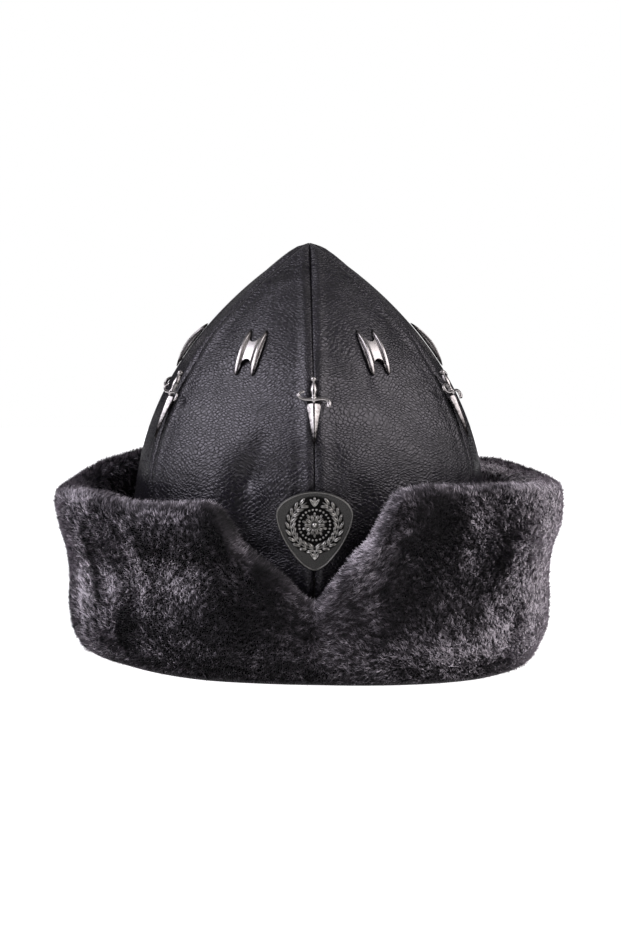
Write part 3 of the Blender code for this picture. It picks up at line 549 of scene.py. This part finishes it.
def grow_pile(name, start, seed, material):
    """One sector of the pile: tufts of two triangles, root, two middle corners and tip.

    The roots are scattered evenly by area. The root half leans a little and the tip half lies
    along the nap, the more so the lighter the patch. Tufts in one clump share a lean, a tone
    and a length, and noise drawn out along the nap gives strokes of light and dark. On the
    baking map each tuft has a small square of its own, in order round the hat."""
    rng = np.random.default_rng(seed)
    first = int(round((start + 180.0) / 360.0 * STATIONS))
    stations = np.arange(first, first + STATIONS // 4) % STATIONS
    here = outer_fur[stations]
    across = np.linalg.norm(outer_fur[(stations + 1) % STATIONS] - here, axis=-1)
    along = np.linalg.norm(np.roll(here, -1, axis=1) - here, axis=-1)
    weight = (across * along * pile_thickness(azimuths[stations][:, None], section_share)).ravel()
    chance = np.cumsum(weight) / weight.sum()
    picked = np.sort(np.searchsorted(chance, rng.random(TUFTS_PER_PIECE)))
    i, j = stations[picked // SECTION_POINTS], picked % SECTION_POINTS
    fi, fj = rng.random(TUFTS_PER_PIECE), rng.random(TUFTS_PER_PIECE)

    def read(field):
        """A field of the surface, blended between the four points round each root."""
        ni, nj = (i + 1) % STATIONS, (j + 1) % SECTION_POINTS
        low = field[i, j] + (field[ni, j] - field[i, j]) * fi[:, None]
        top = field[i, nj] + (field[ni, nj] - field[i, nj]) * fi[:, None]
        return low + (top - low) * fj[:, None]

    surface, out = read(outer_fur), unit(read(out_way))
    round_on, up_on = unit(read(round_way)), unit(read(up_way))
    azimuth = (azimuths[i] + fi * 360.0 / STATIONS + 180.0) % 360.0 - 180.0
    share = (j + fj) / SECTION_POINTS
    u, v = np.radians(azimuth) * CUFF_R, share * SECTION_LENGTH
    cell_u, cell_v = np.floor(u / CLUMP).astype(int), np.floor(v / CLUMP).astype(int)
    lattice = np.random.default_rng(11).uniform(-1.0, 1.0, (600, 250, 5))
    clump = lattice[cell_u % 600, cell_v % 250]
    nap = nap_angle(azimuth, u, v) + 15.0 * clump[:, 0] + rng.normal(0, 12, len(u))
    nap = np.radians(nap)[:, None]
    nap_way = up_on * np.cos(nap) + round_on * np.sin(nap)
    # Painted light: the patches' bells and the pile inside the cuff behind the right side lighten or darken
    # the colour.
    patch = pile_tone_and_painted_light(azimuth, surface[:, 2], u, v) + 0.90 * right_inside(azimuth, share)
    lay = 0.20 + 0.55 * patch + 0.16 * clump[:, 1] + rng.normal(0, 0.10, len(u))
    lay = np.clip(lay, 0.1, 0.9)[:, None]
    root_way = unit(out * (1.15 - 0.55 * lay) + nap_way * 0.55 * lay)
    tip_way = unit(out * (0.95 - lay) + nap_way * lay)
    length = TUFT_LENGTH * (1.0 + 0.12 * clump[:, 2] + rng.normal(0, 0.10, len(u)))[:, None]
    root = surface - out * (PILE_DEPTH + 0.7 * MM)
    middle = root + root_way * length * 0.5
    tip = middle + tip_way * length * 0.5
    pull = np.stack([(cell_u + 0.5) * CLUMP - u, (cell_v + 0.5) * CLUMP - v], axis=-1)
    tip = tip + (round_on * pull[:, :1] + up_on * pull[:, 1:]) * 0.45
    side = unit(np.cross(tip_way, out) + out * rng.normal(0, 0.35, len(u))[:, None])
    half_width = TUFT_WIDTH / 2 * rng.uniform(0.7, 1.3, len(u))[:, None]
    points = np.stack([root, middle - side * half_width, middle + side * half_width, tip], axis=1)
    points[..., 2] = np.maximum(points[..., 2], 0.15 * MM)
    base = np.arange(len(u))[:, None] * 4
    triangles = np.concatenate([base + [0, 2, 1], base + [1, 2, 3]])
    slant = np.radians(np.where(azimuth > 0, -42.0, 33.0))
    stroke = soft_noise(u * np.cos(slant) - v * np.sin(slant),
                        (u * np.sin(slant) + v * np.cos(slant)) / 3.0, 1.2 * MM, 7)
    mottle = 1.0 + 0.25 * clump[:, 3] + 0.50 * stroke + rng.normal(0, 0.22, len(u))
    tone = patch * mottle + 0.15 * stroke
    # Painted shade: each tuft's colour falls to a tenth at its root, for the shade deep in the pile, and
    # rises at its tip.
    tones = np.stack([0.10 * tone, 0.80 * tone, 0.80 * tone, 1.45 * tone], axis=1)
    piece = new_piece(name, points, np.zeros((0, 4), int), material, [],
                      {"tone": np.clip(tones, 0.0, 1.0)}, triangles)
    aside = unit(surface * (1, 1, 0))
    normals = unit(0.6 * out + 0.4 * aside + tip_way * 0.25 + rng.normal(0, 0.28, out.shape))
    piece.data.normals_split_custom_set_from_vertices(np.repeat(normals, 4, axis=0).tolist())
    squares = math.ceil(math.sqrt(len(u)))
    order = np.arange(len(u))
    corner = np.stack([order // squares, order % squares], axis=-1)[:, None]
    place = (corner + np.array([(0.5, 0.1), (0.15, 0.5), (0.85, 0.5), (0.5, 0.9)])) / squares
    bake_map = piece.data.uv_layers.new(name="OFBake")
    bake_map.data.foreach_set("uv", place.reshape(-1, 2)[triangles.ravel()].ravel())


def nap_angle(azimuth, u, v):
    """Way the pile lies, in degrees from straight up towards +azimuth.

    It rises on both flaps and leans towards the front, and behind it rises and leans to the
    left, with broad swirls of noise."""
    lean = np.interp(azimuth, NAP[:, 0], NAP[:, 1])
    return lean + 22.0 * soft_noise(u, v, 22 * MM, 3) + 12.0 * soft_noise(u, v, 8 * MM, 4)


def pile_tone_and_painted_light(azimuth, z, u, v):
    """How light the pile shows, 0 to 1: a middle value and broad noise for its tone, and the patches' bells
    of painted light and shade.
    """
    tone = 0.42 + 0.10 * soft_noise(u, v, 16 * MM, 5) + 0.07 * soft_noise(u, v, 5 * MM, 6)
    for at, height, across, up, strength in PILE_LIGHT_PATCHES:
        apart = ((azimuth - at + 180.0) % 360.0 - 180.0) * math.radians(125.0)
        tone = tone + 0.75 * strength * np.exp(-((apart / across) ** 2 + ((z / MM - height) / up) ** 2))
    return np.clip(tone, 0.08, 1.15)


pile = pile_material()
for seed, (place, start) in enumerate(PILE_SECTORS.items()):
    grow_pile(f"fur_pile_{place}", start, 100 + seed, pile)

# Bar studs. On the middle of each gore sits a cast nickel H: two arched fins on thin pointed feet,
# bridged by a dished plate with a round notch above and below. Prongs through the leather hold
# it, so its feet lie close to the grain.

CLEARANCE = 0.3 * MM
BAR_HALF = 14.0 * MM
BAR_SPACING = 9.5 * MM
BAR_FOOT = 1.65 * MM
BAR_FOOT_THICK = 0.5 * MM
BAR_FIN = 0.85 * MM
BAR_FIN_HEIGHT = 1.7 * MM
BAR_BOW = 0.9 * MM
BAR_BEND_R = 190.0 * MM
BAR_ROWS = 41
PLATE_HALF = 8.0 * MM
PLATE_THICK = 1.0 * MM
PLATE_ROWS = 15
CHANNEL = 0.6 * MM
NOTCH_R = 2.8 * MM
BAR_LEVELS = (153.0 * MM, 164.0 * MM, 175.0 * MM)


def seam_radius(z):
    """Radius at a seam of the line that bridges the two puffed edges beside it."""
    r = dome_radius(z)
    aside = np.arcsin(PUFF_OFFSET / r)
    corner = math.pi / GORES - aside
    crest = r * (1.0 + hexagon_share(z) * (1.0 / np.cos(corner) - 1.0))
    return crest * np.cos(aside) + PUFF_HEIGHT


def seated(points, azimuth, levels, radius_at, bend):
    """Points made flat (x across, y up the crown, z off the leather) stood on the crown.

    levels are the heights of the low end, the origin and the high end. The piece's back has the
    curvature bend, and is lifted along its normal until it clears the crown at every height."""
    turn = math.radians(azimuth)
    out = np.array([math.sin(turn), -math.cos(turn), 0.0])
    across = np.array([-out[1], out[0], 0.0])
    low, middle, high = levels
    up = unit(out * (radius_at(high) - radius_at(low)) + np.array([0, 0, high - low]))
    normal = np.cross(across, up)
    base = out * radius_at(middle) + np.array([0, 0, middle])
    steps = np.linspace(low, high, 25)[:, None]
    apart = out * radius_at(steps) + np.array([0, 0, 1.0]) * steps - base
    lift = (apart @ normal + bend * (apart @ up) ** 2 / 2).max()
    return base + normal * (lift + CLEARANCE) + points @ np.stack([across, up, normal])


def joined(*shells):
    """Several (points, quads) shells as one list of points and one of quads."""
    points, quads, start = [], [], 0
    for shell, faces in shells:
        shell = shell.reshape(-1, 3)
        points.append(shell)
        quads.append(faces + start)
        start += len(shell)
    return np.concatenate(points), np.concatenate(quads)


def shut_quads(rows, loop):
    """Quads along rows of a closed section, with the first and last row folded shut on themselves."""
    k = np.arange(loop // 2 - 1)
    start = np.stack([k, loop - 1 - k, loop - 2 - k, k + 1], axis=-1)
    end = start[:, ::-1] + (rows - 1) * loop
    return np.concatenate([strip_quads(rows, loop, closed=True), start, end])


def loft(x, y, z):
    """A closed body from rows of a closed section."""
    return np.stack([x, np.broadcast_to(y, x.shape), z], axis=-1), shut_quads(*x.shape)


def stud_fin(side):
    """A foot, half width F (1 - t^p)^0.6, with an arched fin H (1 - t^2)^0.8 on it.

    The power p is 2.6 at the upper end, which makes it pointed, and 7 at the rounder lower end.
    The body bows up in the middle, and the underside stays down on the leather."""
    t = np.linspace(-0.985, 0.985, BAR_ROWS)[:, None]
    y = t * BAR_HALF
    foot = BAR_FOOT * (1.0 - np.abs(t) ** np.where(t < 0, 7.0, 2.6)) ** 0.6
    fin = np.minimum(BAR_FIN, 0.7 * foot)
    height = BAR_FIN_HEIGHT * (1.0 - t**2) ** 0.8
    base = BAR_FOOT_THICK * (1.0 - 0.4 * np.abs(t))
    bow = BAR_BOW * np.cos(math.pi / 2 * t) - y * y / (2 * BAR_BEND_R)
    zero = 0.0 * t
    x = [foot, foot, foot * 0.9, fin, fin * 0.95, fin * 0.75, fin * 0.4]
    z = [zero, base * 0.7, base, base, base + height * 0.72, base + height * 0.93, base + height]
    x = np.concatenate(x + [-value for value in x[::-1]], axis=1)
    z = np.concatenate(z + z[::-1], axis=1) + bow
    z[:, [0, -1]] -= BAR_BOW * np.cos(math.pi / 2 * t)
    return loft(side * BAR_SPACING / 2 + x, y, z)


def stud_plate():
    """The bridge: a slab T - C exp(-(d / C)^2) thick, d the distance from a fin, with its ends cut
    back by the notch's circle."""
    reach = BAR_SPACING / 2 - BAR_FIN * 0.5
    x = np.linspace(-reach, reach, 27)[None, :]
    notch = np.sqrt(np.maximum(NOTCH_R**2 - x**2, 0.0))
    y = np.linspace(-1.0, 1.0, PLATE_ROWS)[:, None] * (PLATE_HALF - notch)
    bow = BAR_BOW * np.cos(math.pi / 2 * y / BAR_HALF) - y * y / (2 * BAR_BEND_R)
    low = bow + 0.3 * MM
    beside_fin = BAR_SPACING / 2 - BAR_FIN - 0.4 * MM - np.abs(x)
    top = low + PLATE_THICK - CHANNEL * np.exp(-((beside_fin / CHANNEL) ** 2))
    points = np.stack([
        np.concatenate([x + 0 * y, (x + 0 * y)[:, ::-1]], axis=1),
        np.concatenate([y, y[:, ::-1]], axis=1),
        np.concatenate([top, low[:, ::-1]], axis=1),
    ], axis=-1)
    loop = 2 * x.size
    quads = strip_quads(PLATE_ROWS, loop, closed=True)
    k = np.arange(x.size - 1)
    start = np.stack([k + 1, k, loop - 1 - k, loop - 2 - k], axis=-1)
    return points, np.concatenate([quads, start, start[:, ::-1] + (PLATE_ROWS - 1) * loop])


def nickel():
    """Dark polished nickel: a brushed grain along the piece, blotches of darker tone, and painted shade
    that darkens it where it lies low.
    """
    made, shader, add, link = node_kit("dark_nickel")
    flat = add("ShaderNodeAttribute", {"attribute_name": "flat"}).outputs["Vector"]
    stretched = add("ShaderNodeVectorMath", {"operation": "MULTIPLY"}, _0=flat, _1=(6.0, 0.5, 6.0))
    brushed = add("ShaderNodeTexNoise", Vector=stretched.outputs[0], Scale=1.6, Detail=3.0)
    # Painted shade: the colour darkens where the piece lies low, by the leather, and blotch noise varies
    # it.
    level = add("ShaderNodeSeparateXYZ", _0=flat).outputs["Z"]
    blotch = add("ShaderNodeTexNoise", Vector=flat, Scale=0.7, Detail=3.0)
    painted_shade_and_mottle = add("ShaderNodeMath", {"operation": "MULTIPLY_ADD"}, _0=level, _1=0.42, _2=-0.30)
    painted_shade_and_mottle = add("ShaderNodeMath", {"operation": "ADD"}, _0=painted_shade_and_mottle.outputs[0], _1=blotch.outputs["Fac"])
    colour = ramp(add, painted_shade_and_mottle.outputs[0], (0.25, (0.020, 0.018, 0.018)), (0.62, (0.17, 0.158, 0.157)),
                  (1.0, (0.34, 0.318, 0.315)))
    link(colour, shader.inputs["Base Color"])
    rough = add("ShaderNodeMapRange", Value=brushed.outputs["Fac"],
                **{"To Min": 0.18, "To Max": 0.40})
    link(rough.outputs[0], shader.inputs["Roughness"])
    bump = add("ShaderNodeBump", Strength=0.25, Distance=0.03 * MM, Height=brushed.outputs["Fac"])
    link(bump.outputs[0], shader.inputs["Normal"])
    shader.inputs["Metallic"].default_value = 1.0
    return made


stud_metal = nickel()
bar_points, bar_quads = joined(stud_fin(-1), stud_fin(1), stud_plate())
for place, middle in GORE_MIDDLES.items():
    stood = seated(bar_points, middle, BAR_LEVELS, dome_radius, 1 / BAR_BEND_R)
    stud = new_piece(f"nickel_bars_{place}", stood, bar_quads, stud_metal,
                     [f"bar_stud_{place}"], {"flat": bar_points / MM})
    stud.data.set_sharp_from_angle(angle=math.radians(38))

# Dagger studs. One small cast dagger sits on each seam, point down: a bevelled blade with a
# fuller, a collar, a spindle grip with a ball pommel, and a guard drawn out into an S whose
# ends curl back.

DAGGER_LEVELS = (118.0 * MM, 141.5 * MM, 153.0 * MM)
DAGGER_BEND_R = 220.0 * MM
FULLER_DEPTH = 0.35 * MM
# Blade, from its shoulders down: (along_mm, half_width_mm, edge_mm, ridge_mm).
BLADE = np.array([
    (-1.7, 2.3, 0.7, 1.2), (-2.1, 3.0, 0.8, 1.7), (-3.0, 3.3, 0.8, 1.9), (-4.3, 3.4, 0.8, 2.0),
    (-8.4, 2.60, 0.8, 1.9), (-13.5, 1.85, 0.8, 1.75), (-18.6, 1.10, 0.8, 1.5), (-23.4, 0.5, 0.7, 1.2),
    (-25.0, 0.18, 0.6, 0.8),
])
# Hilt, from the block under the guard up: (along_mm, half_width_mm, height_mm).
HILT = np.array([
    (-1.8, 0.5, 1.5), (-1.2, 0.9, 2.1), (-0.4, 1.3, 2.5), (0.5, 1.3, 2.5), (0.8, 1.65, 2.3),
    (1.3, 1.7, 2.3), (1.6, 1.1, 2.0), (2.6, 1.25, 2.1), (4.5, 1.75, 2.5), (6.0, 1.8, 2.55),
    (8.0, 1.35, 2.2), (9.6, 0.8, 1.7), (10.0, 0.8, 1.7), (10.3, 1.2, 2.1), (10.9, 1.6, 2.5),
    (11.6, 1.65, 2.55), (12.3, 1.2, 2.2), (12.8, 0.45, 1.5),
])
GUARD_LIFT = 1.45 * MM
# Guard's middle line: (across_mm, along_mm, radius_mm).
GUARD = np.array([
    (-4.7, 4.1, 0.60), (-5.6, 4.2, 0.86), (-6.8, 3.8, 0.80), (-7.6, 2.8, 0.76), (-7.3, 1.6, 0.76),
    (-6.0, 0.5, 0.76), (-4.0, 0.1, 0.80), (-1.6, 0.1, 0.90), (0.0, 0.0, 1.00), (1.6, 0.1, 0.90),
    (4.0, 0.3, 0.80), (6.0, 0.1, 0.76), (7.5, -0.8, 0.76), (8.1, -2.2, 0.76), (7.8, -3.4, 0.80),
    (7.2, -4.3, 0.55),
])
# The second strand of each curl, in the same columns.
CURL_LEFT = np.array([
    (-7.0, 0.9, 0.28), (-7.9, 1.4, 0.34), (-8.4, 2.5, 0.34), (-7.9, 3.5, 0.34), (-7.1, 3.9, 0.26),
])
CURL_RIGHT = np.array([
    (6.3, -0.5, 0.26), (6.9, -1.5, 0.34), (7.0, -2.7, 0.34), (6.7, -3.7, 0.34), (6.0, -4.4, 0.26),
])


def refined(table, rows):
    """A table's rows joined by cubics as in a smooth loop, and read at evenly spaced places."""
    place = np.linspace(0.0, len(table) - 1.001, rows)
    k = place.astype(int)
    t = (place - k)[:, None]
    a, b, c, d = (table[np.clip(k + step, 0, len(table) - 1)] for step in (-1, 0, 1, 2))
    return b + 0.5 * t * (c - a + t * (2 * a - 5 * b + 4 * c - d + t * (3 * (b - c) + d - a)))


def fall(y):
    """How far the piece's back bends away from flat at y."""
    return -y * y / (2 * DAGGER_BEND_R)


def dagger_blade():
    """Rows of an eight-cornered section: two flanks up to ridges beside a sunk middle line."""
    y, half_width, edge, ridge = (column[:, None] * MM for column in refined(BLADE[::-1], 36).T)
    lip = 0.16 * half_width + 0.05 * MM
    zero = 0.0 * y
    x = np.concatenate([half_width, half_width, lip, lip * 0.5, -lip * 0.5, -lip, -half_width,
                        -half_width], axis=1)
    fuller = ridge - FULLER_DEPTH
    z = np.concatenate([zero, edge, ridge, fuller, fuller, ridge, edge, zero], axis=1)
    return loft(x, y, z + fall(y))


def dagger_hilt():
    """Rows of a half round: w cos t across and h (0.28 + 0.72 sin t) high."""
    y, half_width, height = (column[:, None] * MM for column in refined(HILT, 64).T)
    turn = np.linspace(0.0, math.pi, 14)[None, :]
    x = half_width * np.cos(turn)
    z = height * (0.28 + 0.72 * np.sin(turn)) * np.sign(np.sin(turn) + 0.05)
    z = np.where(np.sin(turn) < 1e-6, 0.0, z)
    return loft(x, y, z + fall(y))


def tube(table, rows, sides, lift):
    """A round tube along a path of (x, y, radius), its section square to the path."""
    path = refined(table, rows) * MM
    along = unit(np.gradient(path[:, :2], axis=0))
    turn = np.arange(sides) * 2 * math.pi / sides
    aside = path[:, 2:] * np.cos(turn)
    x = path[:, :1] + along[:, 1:] * aside
    y = path[:, 1:2] - along[:, :1] * aside
    z = lift + path[:, 2:] * np.sin(turn)
    return np.stack([x, y, z + fall(y)], axis=-1), shut_quads(rows, sides)


dagger_points, dagger_quads = joined(
    dagger_blade(), dagger_hilt(), tube(GUARD, 72, 12, GUARD_LIFT),
    tube(CURL_LEFT, 24, 8, GUARD_LIFT - 0.3 * MM), tube(CURL_RIGHT, 24, 8, GUARD_LIFT - 0.3 * MM),
)
SEAM_AZIMUTHS = {
    "front": 0, "right_front": 60, "right_back": 120, "back": 180, "left_back": -120, "left_front": -60,
}
for place, azimuth in SEAM_AZIMUTHS.items():
    stood = seated(dagger_points, azimuth, DAGGER_LEVELS, seam_radius, 1 / DAGGER_BEND_R)
    stud = new_piece(f"nickel_dagger_{place}", stood, dagger_quads, stud_metal,
                     [f"dagger_stud_{place}"], {"flat": dagger_points / MM})
    stud.data.set_sharp_from_angle(angle=math.radians(42))

# Badge. A cast pewter plate shaped like a plectrum covers the front seam where the cuff parts:
# a thin raised rim, a darkened ground, and a rosette, beads and a wreath in relief, rubbed
# bright on their tops.

BADGE_Z = 87.2 * MM
BADGE_WIDE = 19.5
BADGE_TOP = 10.6
BADGE_FOOT = 29.9
BADGE_PLATE = 1.5
BADGE_RIM = 0.5
ROSETTE_Y = -6.5
WREATH_R = 12.0
# Poles of the outline's two arcs, from the top to the widest place and on to the foot, in mm.
UPPER_ARC = ((0, BADGE_TOP), (0.54 * BADGE_WIDE, BADGE_TOP), (BADGE_WIDE, 4.5), (BADGE_WIDE, -1))
LOWER_ARC = ((BADGE_WIDE, -1), (BADGE_WIDE, -11), (7.5, -BADGE_FOOT), (0, -BADGE_FOOT))
RIM_HALF = 0.5
DISH = 0.35
DARK_R = 15.2
RELIEF_INSET = 1.7
BADGE_RINGS = 104
BADGE_SPOKES = 336


def badge_outline(turn):
    """Distance from the rosette to the badge's edge at each angle, in mm.

    The edge is two cubic arcs and their mirror. Each is the sum of its four poles, weighted by
    (1 - t)^3, 3 t (1 - t)^2, 3 t^2 (1 - t) and t^3."""
    t = np.linspace(0.0, 1.0, 200)[:, None]
    weights = np.concatenate([(1 - t) ** 3, 3 * t * (1 - t) ** 2, 3 * t * t * (1 - t), t**3], axis=1)
    upper, lower = weights @ np.array(UPPER_ARC), weights @ np.array(LOWER_ARC)
    edge = np.concatenate([upper, lower[1:]]) - (0, ROSETTE_Y)
    angle = np.arctan2(edge[:, 0], edge[:, 1])
    return np.interp(np.abs(turn), angle, np.hypot(edge[:, 0], edge[:, 1]))


def boss(x, y, at, size, turn=0.0, vein=0.0):
    """Height of a low oval dome, h sqrt(1 - a^2 - b^2), with a vein cut along its long side."""
    dx, dy = x - at[0], y - at[1]
    a = (dx * math.cos(turn) + dy * math.sin(turn)) / (size[0] / 2)
    b = (dy * math.cos(turn) - dx * math.sin(turn)) / (size[1] / 2)
    dome = size[2] * np.sqrt(np.maximum(1.0 - a * a - b * b, 0.0))
    return dome * (1.0 - vein * np.exp(-((b / 0.22) ** 2)))


def round_rosette(radius, degrees):
    """The place at this distance and angle from the rosette's middle."""
    turn = math.radians(degrees)
    return (radius * math.cos(turn), ROSETTE_Y + radius * math.sin(turn))


def badge_relief(x, y):
    """Height of the relief over the plate: the highest of all its bosses at each point."""
    shapes = [boss(x, y, (0, ROSETTE_Y), (3.2, 3.2, 2.1))]
    for i in range(10):
        turn = 36.0 * i
        shapes.append(boss(x, y, round_rosette(3.4, turn), (4.2, 2.0, 1.7), math.radians(turn), 0.5))
        turn += 18.0
        shapes.append(boss(x, y, round_rosette(5.2, turn), (3.2, 1.5, 1.3), math.radians(turn), 0.4))
    for i in range(26):
        shapes.append(boss(x, y, round_rosette(7.8, 360.0 * i / 26), (1.5, 1.5, 1.1)))
    for side in (-1, 1):
        for i in range(10):
            degrees = -80.0 + 142.0 * i / 9
            turn = math.radians(degrees)
            lean = math.atan2(math.cos(turn), -side * math.sin(turn))
            for spread, out in ((-0.45, 1.5), (0.50, -1.3)):
                reach = WREATH_R + out
                at = (side * reach * math.cos(turn), ROSETTE_Y + reach * math.sin(turn))
                shapes.append(boss(x, y, at, (4.6, 1.9, 1.5), lean + side * spread, 0.5))
            stem = (side * WREATH_R * math.cos(turn), ROSETTE_Y + WREATH_R * math.sin(turn))
            shapes.append(boss(x, y, stem, (4.2, 0.9, 1.0), lean))
    for along, length in ((5.4, 5.0), (-21.8, 5.4)):
        for spread in (-0.6, 0.0, 0.6):
            turn = math.pi / 2 + spread
            at = (1.7 * math.sin(-spread), along - abs(spread))
            shapes.append(boss(x, y, at, (length, 1.9, 1.6), turn, 0.5))
    return np.maximum.reduce(shapes)


def badge_surface():
    """The badge flat, in mm: rings out from the rosette over the top, down the edge, and back in
    underneath. The rim is B sqrt(1 - ((d - h) / h)^2) high, d the distance in from the edge, and
    the dish rises by D s^2, s the share of the way out. With it comes how far each point is
    rubbed bright, below 0 where it is blackened between the bosses."""
    turn = (np.arange(BADGE_SPOKES) + 0.5) * 2 * math.pi / BADGE_SPOKES - math.pi
    reach = badge_outline(turn)[None, :]
    share = np.linspace(0.008, 1.0, BADGE_RINGS)[:, None]
    distance = share * reach
    x, y = distance * np.sin(turn), ROSETTE_Y + distance * np.cos(turn)
    inward = reach - distance
    rim = BADGE_RIM * np.sqrt(np.maximum(1.0 - ((inward - RIM_HALF) / RIM_HALF) ** 2, 0.0))
    dish = DISH * share**2
    relief = badge_relief(x, y) * (inward > RELIEF_INSET)
    top = BADGE_PLATE - DISH + dish + np.maximum(rim, relief)
    under_x, under_y = x[[-1, -1, 40, 0]], y[[-1, -1, 40, 0]]
    under_z = np.zeros_like(under_x)
    under_z[0] = BADGE_PLATE * 0.5
    points = np.stack([np.concatenate([x, under_x]), np.concatenate([y, under_y]),
                       np.concatenate([top, under_z])], axis=-1)
    field = np.clip((DARK_R - distance) / 1.2, 0.0, 1.0) * np.clip(1.0 - relief / 0.5, 0.0, 1.0)
    raised = np.concatenate([np.maximum(rim * 0.8, relief * 0.68) - 0.32 * field - 0.15, 0.0 * under_x])
    return points * MM, raised


def pewter():
    """Antique pewter: a ground darkened in the casting, and relief rubbed to a grey shine."""
    made, shader, add, link = node_kit("antique_pewter")
    raised = add("ShaderNodeAttribute", {"attribute_name": "raised"}).outputs["Fac"]
    flat = add("ShaderNodeAttribute", {"attribute_name": "flat"}).outputs["Vector"]
    grit = add("ShaderNodeTexNoise", Vector=flat, Scale=2.2, Detail=5.0, Roughness=0.65)
    rubbed = add("ShaderNodeMath", {"operation": "MULTIPLY_ADD"},
                 _0=grit.outputs["Fac"], _1=0.76, _2=raised)
    colour = ramp(add, rubbed.outputs[0], (0.0, (0.006, 0.0058, 0.0056)), (0.22, (0.042, 0.041, 0.040)),
                  (0.55, (0.092, 0.089, 0.086)), (1.0, (0.33, 0.32, 0.305)))
    link(colour, shader.inputs["Base Color"])
    rough = add("ShaderNodeMapRange", Value=rubbed.outputs[0], **{"To Min": 0.55, "To Max": 0.28})
    link(rough.outputs[0], shader.inputs["Roughness"])
    bump = add("ShaderNodeBump", Strength=0.7, Distance=0.06 * MM, Height=grit.outputs["Fac"])
    link(bump.outputs[0], shader.inputs["Normal"])
    shader.inputs["Metallic"].default_value = 1.0
    return made


badge_points, raised = badge_surface()
rings, spokes = raised.shape
badge_quads = strip_quads(rings, spokes, closed=True)[:, ::-1]
k = np.arange(spokes // 2 - 1)
shut = np.stack([k, k + 1, spokes - 2 - k, spokes - 1 - k], axis=-1)
badge_quads = np.concatenate([badge_quads, shut[:, ::-1], shut + (rings - 1) * spokes])
badge_levels = (BADGE_Z - BADGE_FOOT * MM, BADGE_Z, BADGE_Z + BADGE_TOP * MM)
stood = seated(badge_points.reshape(-1, 3), 0.0, badge_levels, seam_radius, 0.0)
badge = new_piece("pewter_badge", stood, badge_quads, pewter(), ["badge"],
                  {"flat": badge_points / MM, "raised": raised})
badge.data.set_sharp_from_angle(angle=math.radians(60))

# Setting: a pale floor, a soft box at each side, weak ones above and behind, and the camera of
# the view.

CAMERA_DISTANCE = 1.4
CAMERA_AZIMUTH = -1.5
CAMERA_ELEVATION = 7.0
CAMERA_LENS = 100.25
AIM = Vector((0.00054, 0.0, 0.0985))


def from_round(azimuth, elevation, distance):
    """The point at this azimuth, elevation and distance from where the camera aims."""
    a, e = math.radians(azimuth), math.radians(elevation)
    return AIM + distance * Vector((math.sin(a) * math.cos(e), -math.cos(a) * math.cos(e), math.sin(e)))


camera = bpy.data.objects.new("camera", bpy.data.cameras.new("camera"))
bpy.context.scene.collection.objects.link(camera)
camera.data.lens = CAMERA_LENS
camera.data.clip_end = 30.0
camera.location = from_round(CAMERA_AZIMUTH, CAMERA_ELEVATION, CAMERA_DISTANCE)
camera.rotation_euler = (AIM - camera.location).to_track_quat("-Z", "Y").to_euler()
bpy.context.scene.camera = camera

# (name, azimuth, elevation, distance, width, height, watts, colour)
SOFT_BOXES = (
    ("left", -69, 37, 1.25, 0.95, 0.95, 18.5, (0.93, 0.92, 1.0)),
    ("right", 67, 36, 1.25, 1.1, 0.95, 14.5, (1.0, 0.97, 0.98)),
    ("top", 0, 82, 1.3, 1.3, 1.3, 2.5, (1.0, 0.98, 1.0)),
    ("back", 180, 36, 1.6, 2.0, 1.0, 3.0, (1.0, 0.98, 1.0)),
)
for name, azimuth, elevation, distance, width, height, watts, colour in SOFT_BOXES:
    light = bpy.data.lights.new(name, "AREA")
    light.shape = "RECTANGLE"
    light.size, light.size_y = width, height
    light.energy, light.color = watts, colour
    lamp = bpy.data.objects.new(name, light)
    lamp.location = from_round(azimuth, elevation, distance)
    lamp.rotation_euler = (AIM - lamp.location).to_track_quat("-Z", "Y").to_euler()
    bpy.context.scene.collection.objects.link(lamp)

world = bpy.data.worlds.new("studio")
world.use_nodes = True
sky = world.node_tree.nodes["Background"]
path = world.node_tree.nodes.new("ShaderNodeLightPath")
pick = world.node_tree.nodes.new("ShaderNodeMix")
pick.data_type = "RGBA"
pick.inputs[6].default_value = (0.024, 0.0235, 0.025, 1.0)
pick.inputs[7].default_value = (1.0, 1.0, 1.0, 1.0)
world.node_tree.links.new(path.outputs["Is Camera Ray"], pick.inputs[0])
world.node_tree.links.new(pick.outputs[2], sky.inputs["Color"])
bpy.context.scene.world = world
bpy.context.scene.view_settings.view_transform = "Standard"

FLOOR_SIZE = 2.2
floor_material, floor_shader, _, _ = node_kit("pale_floor")
floor_shader.inputs["Base Color"].default_value = (0.65, 0.65, 0.65, 1.0)
floor_shader.inputs["Roughness"].default_value = 0.8
floor_shader.inputs["Emission Color"].default_value = (1.0, 1.0, 1.0, 1.0)
floor_shader.inputs["Emission Strength"].default_value = 1.0
half = FLOOR_SIZE / 2
floor_mesh = bpy.data.meshes.new("floor")
floor_mesh.from_pydata([(-half, -half, 0), (half, -half, 0), (half, half, 0), (-half, half, 0)], [],
                       [(0, 1, 2, 3)])
floor_mesh.materials.append(floor_material)
floor = bpy.data.objects.new("floor", floor_mesh)
bpy.context.scene.collection.objects.link(floor)
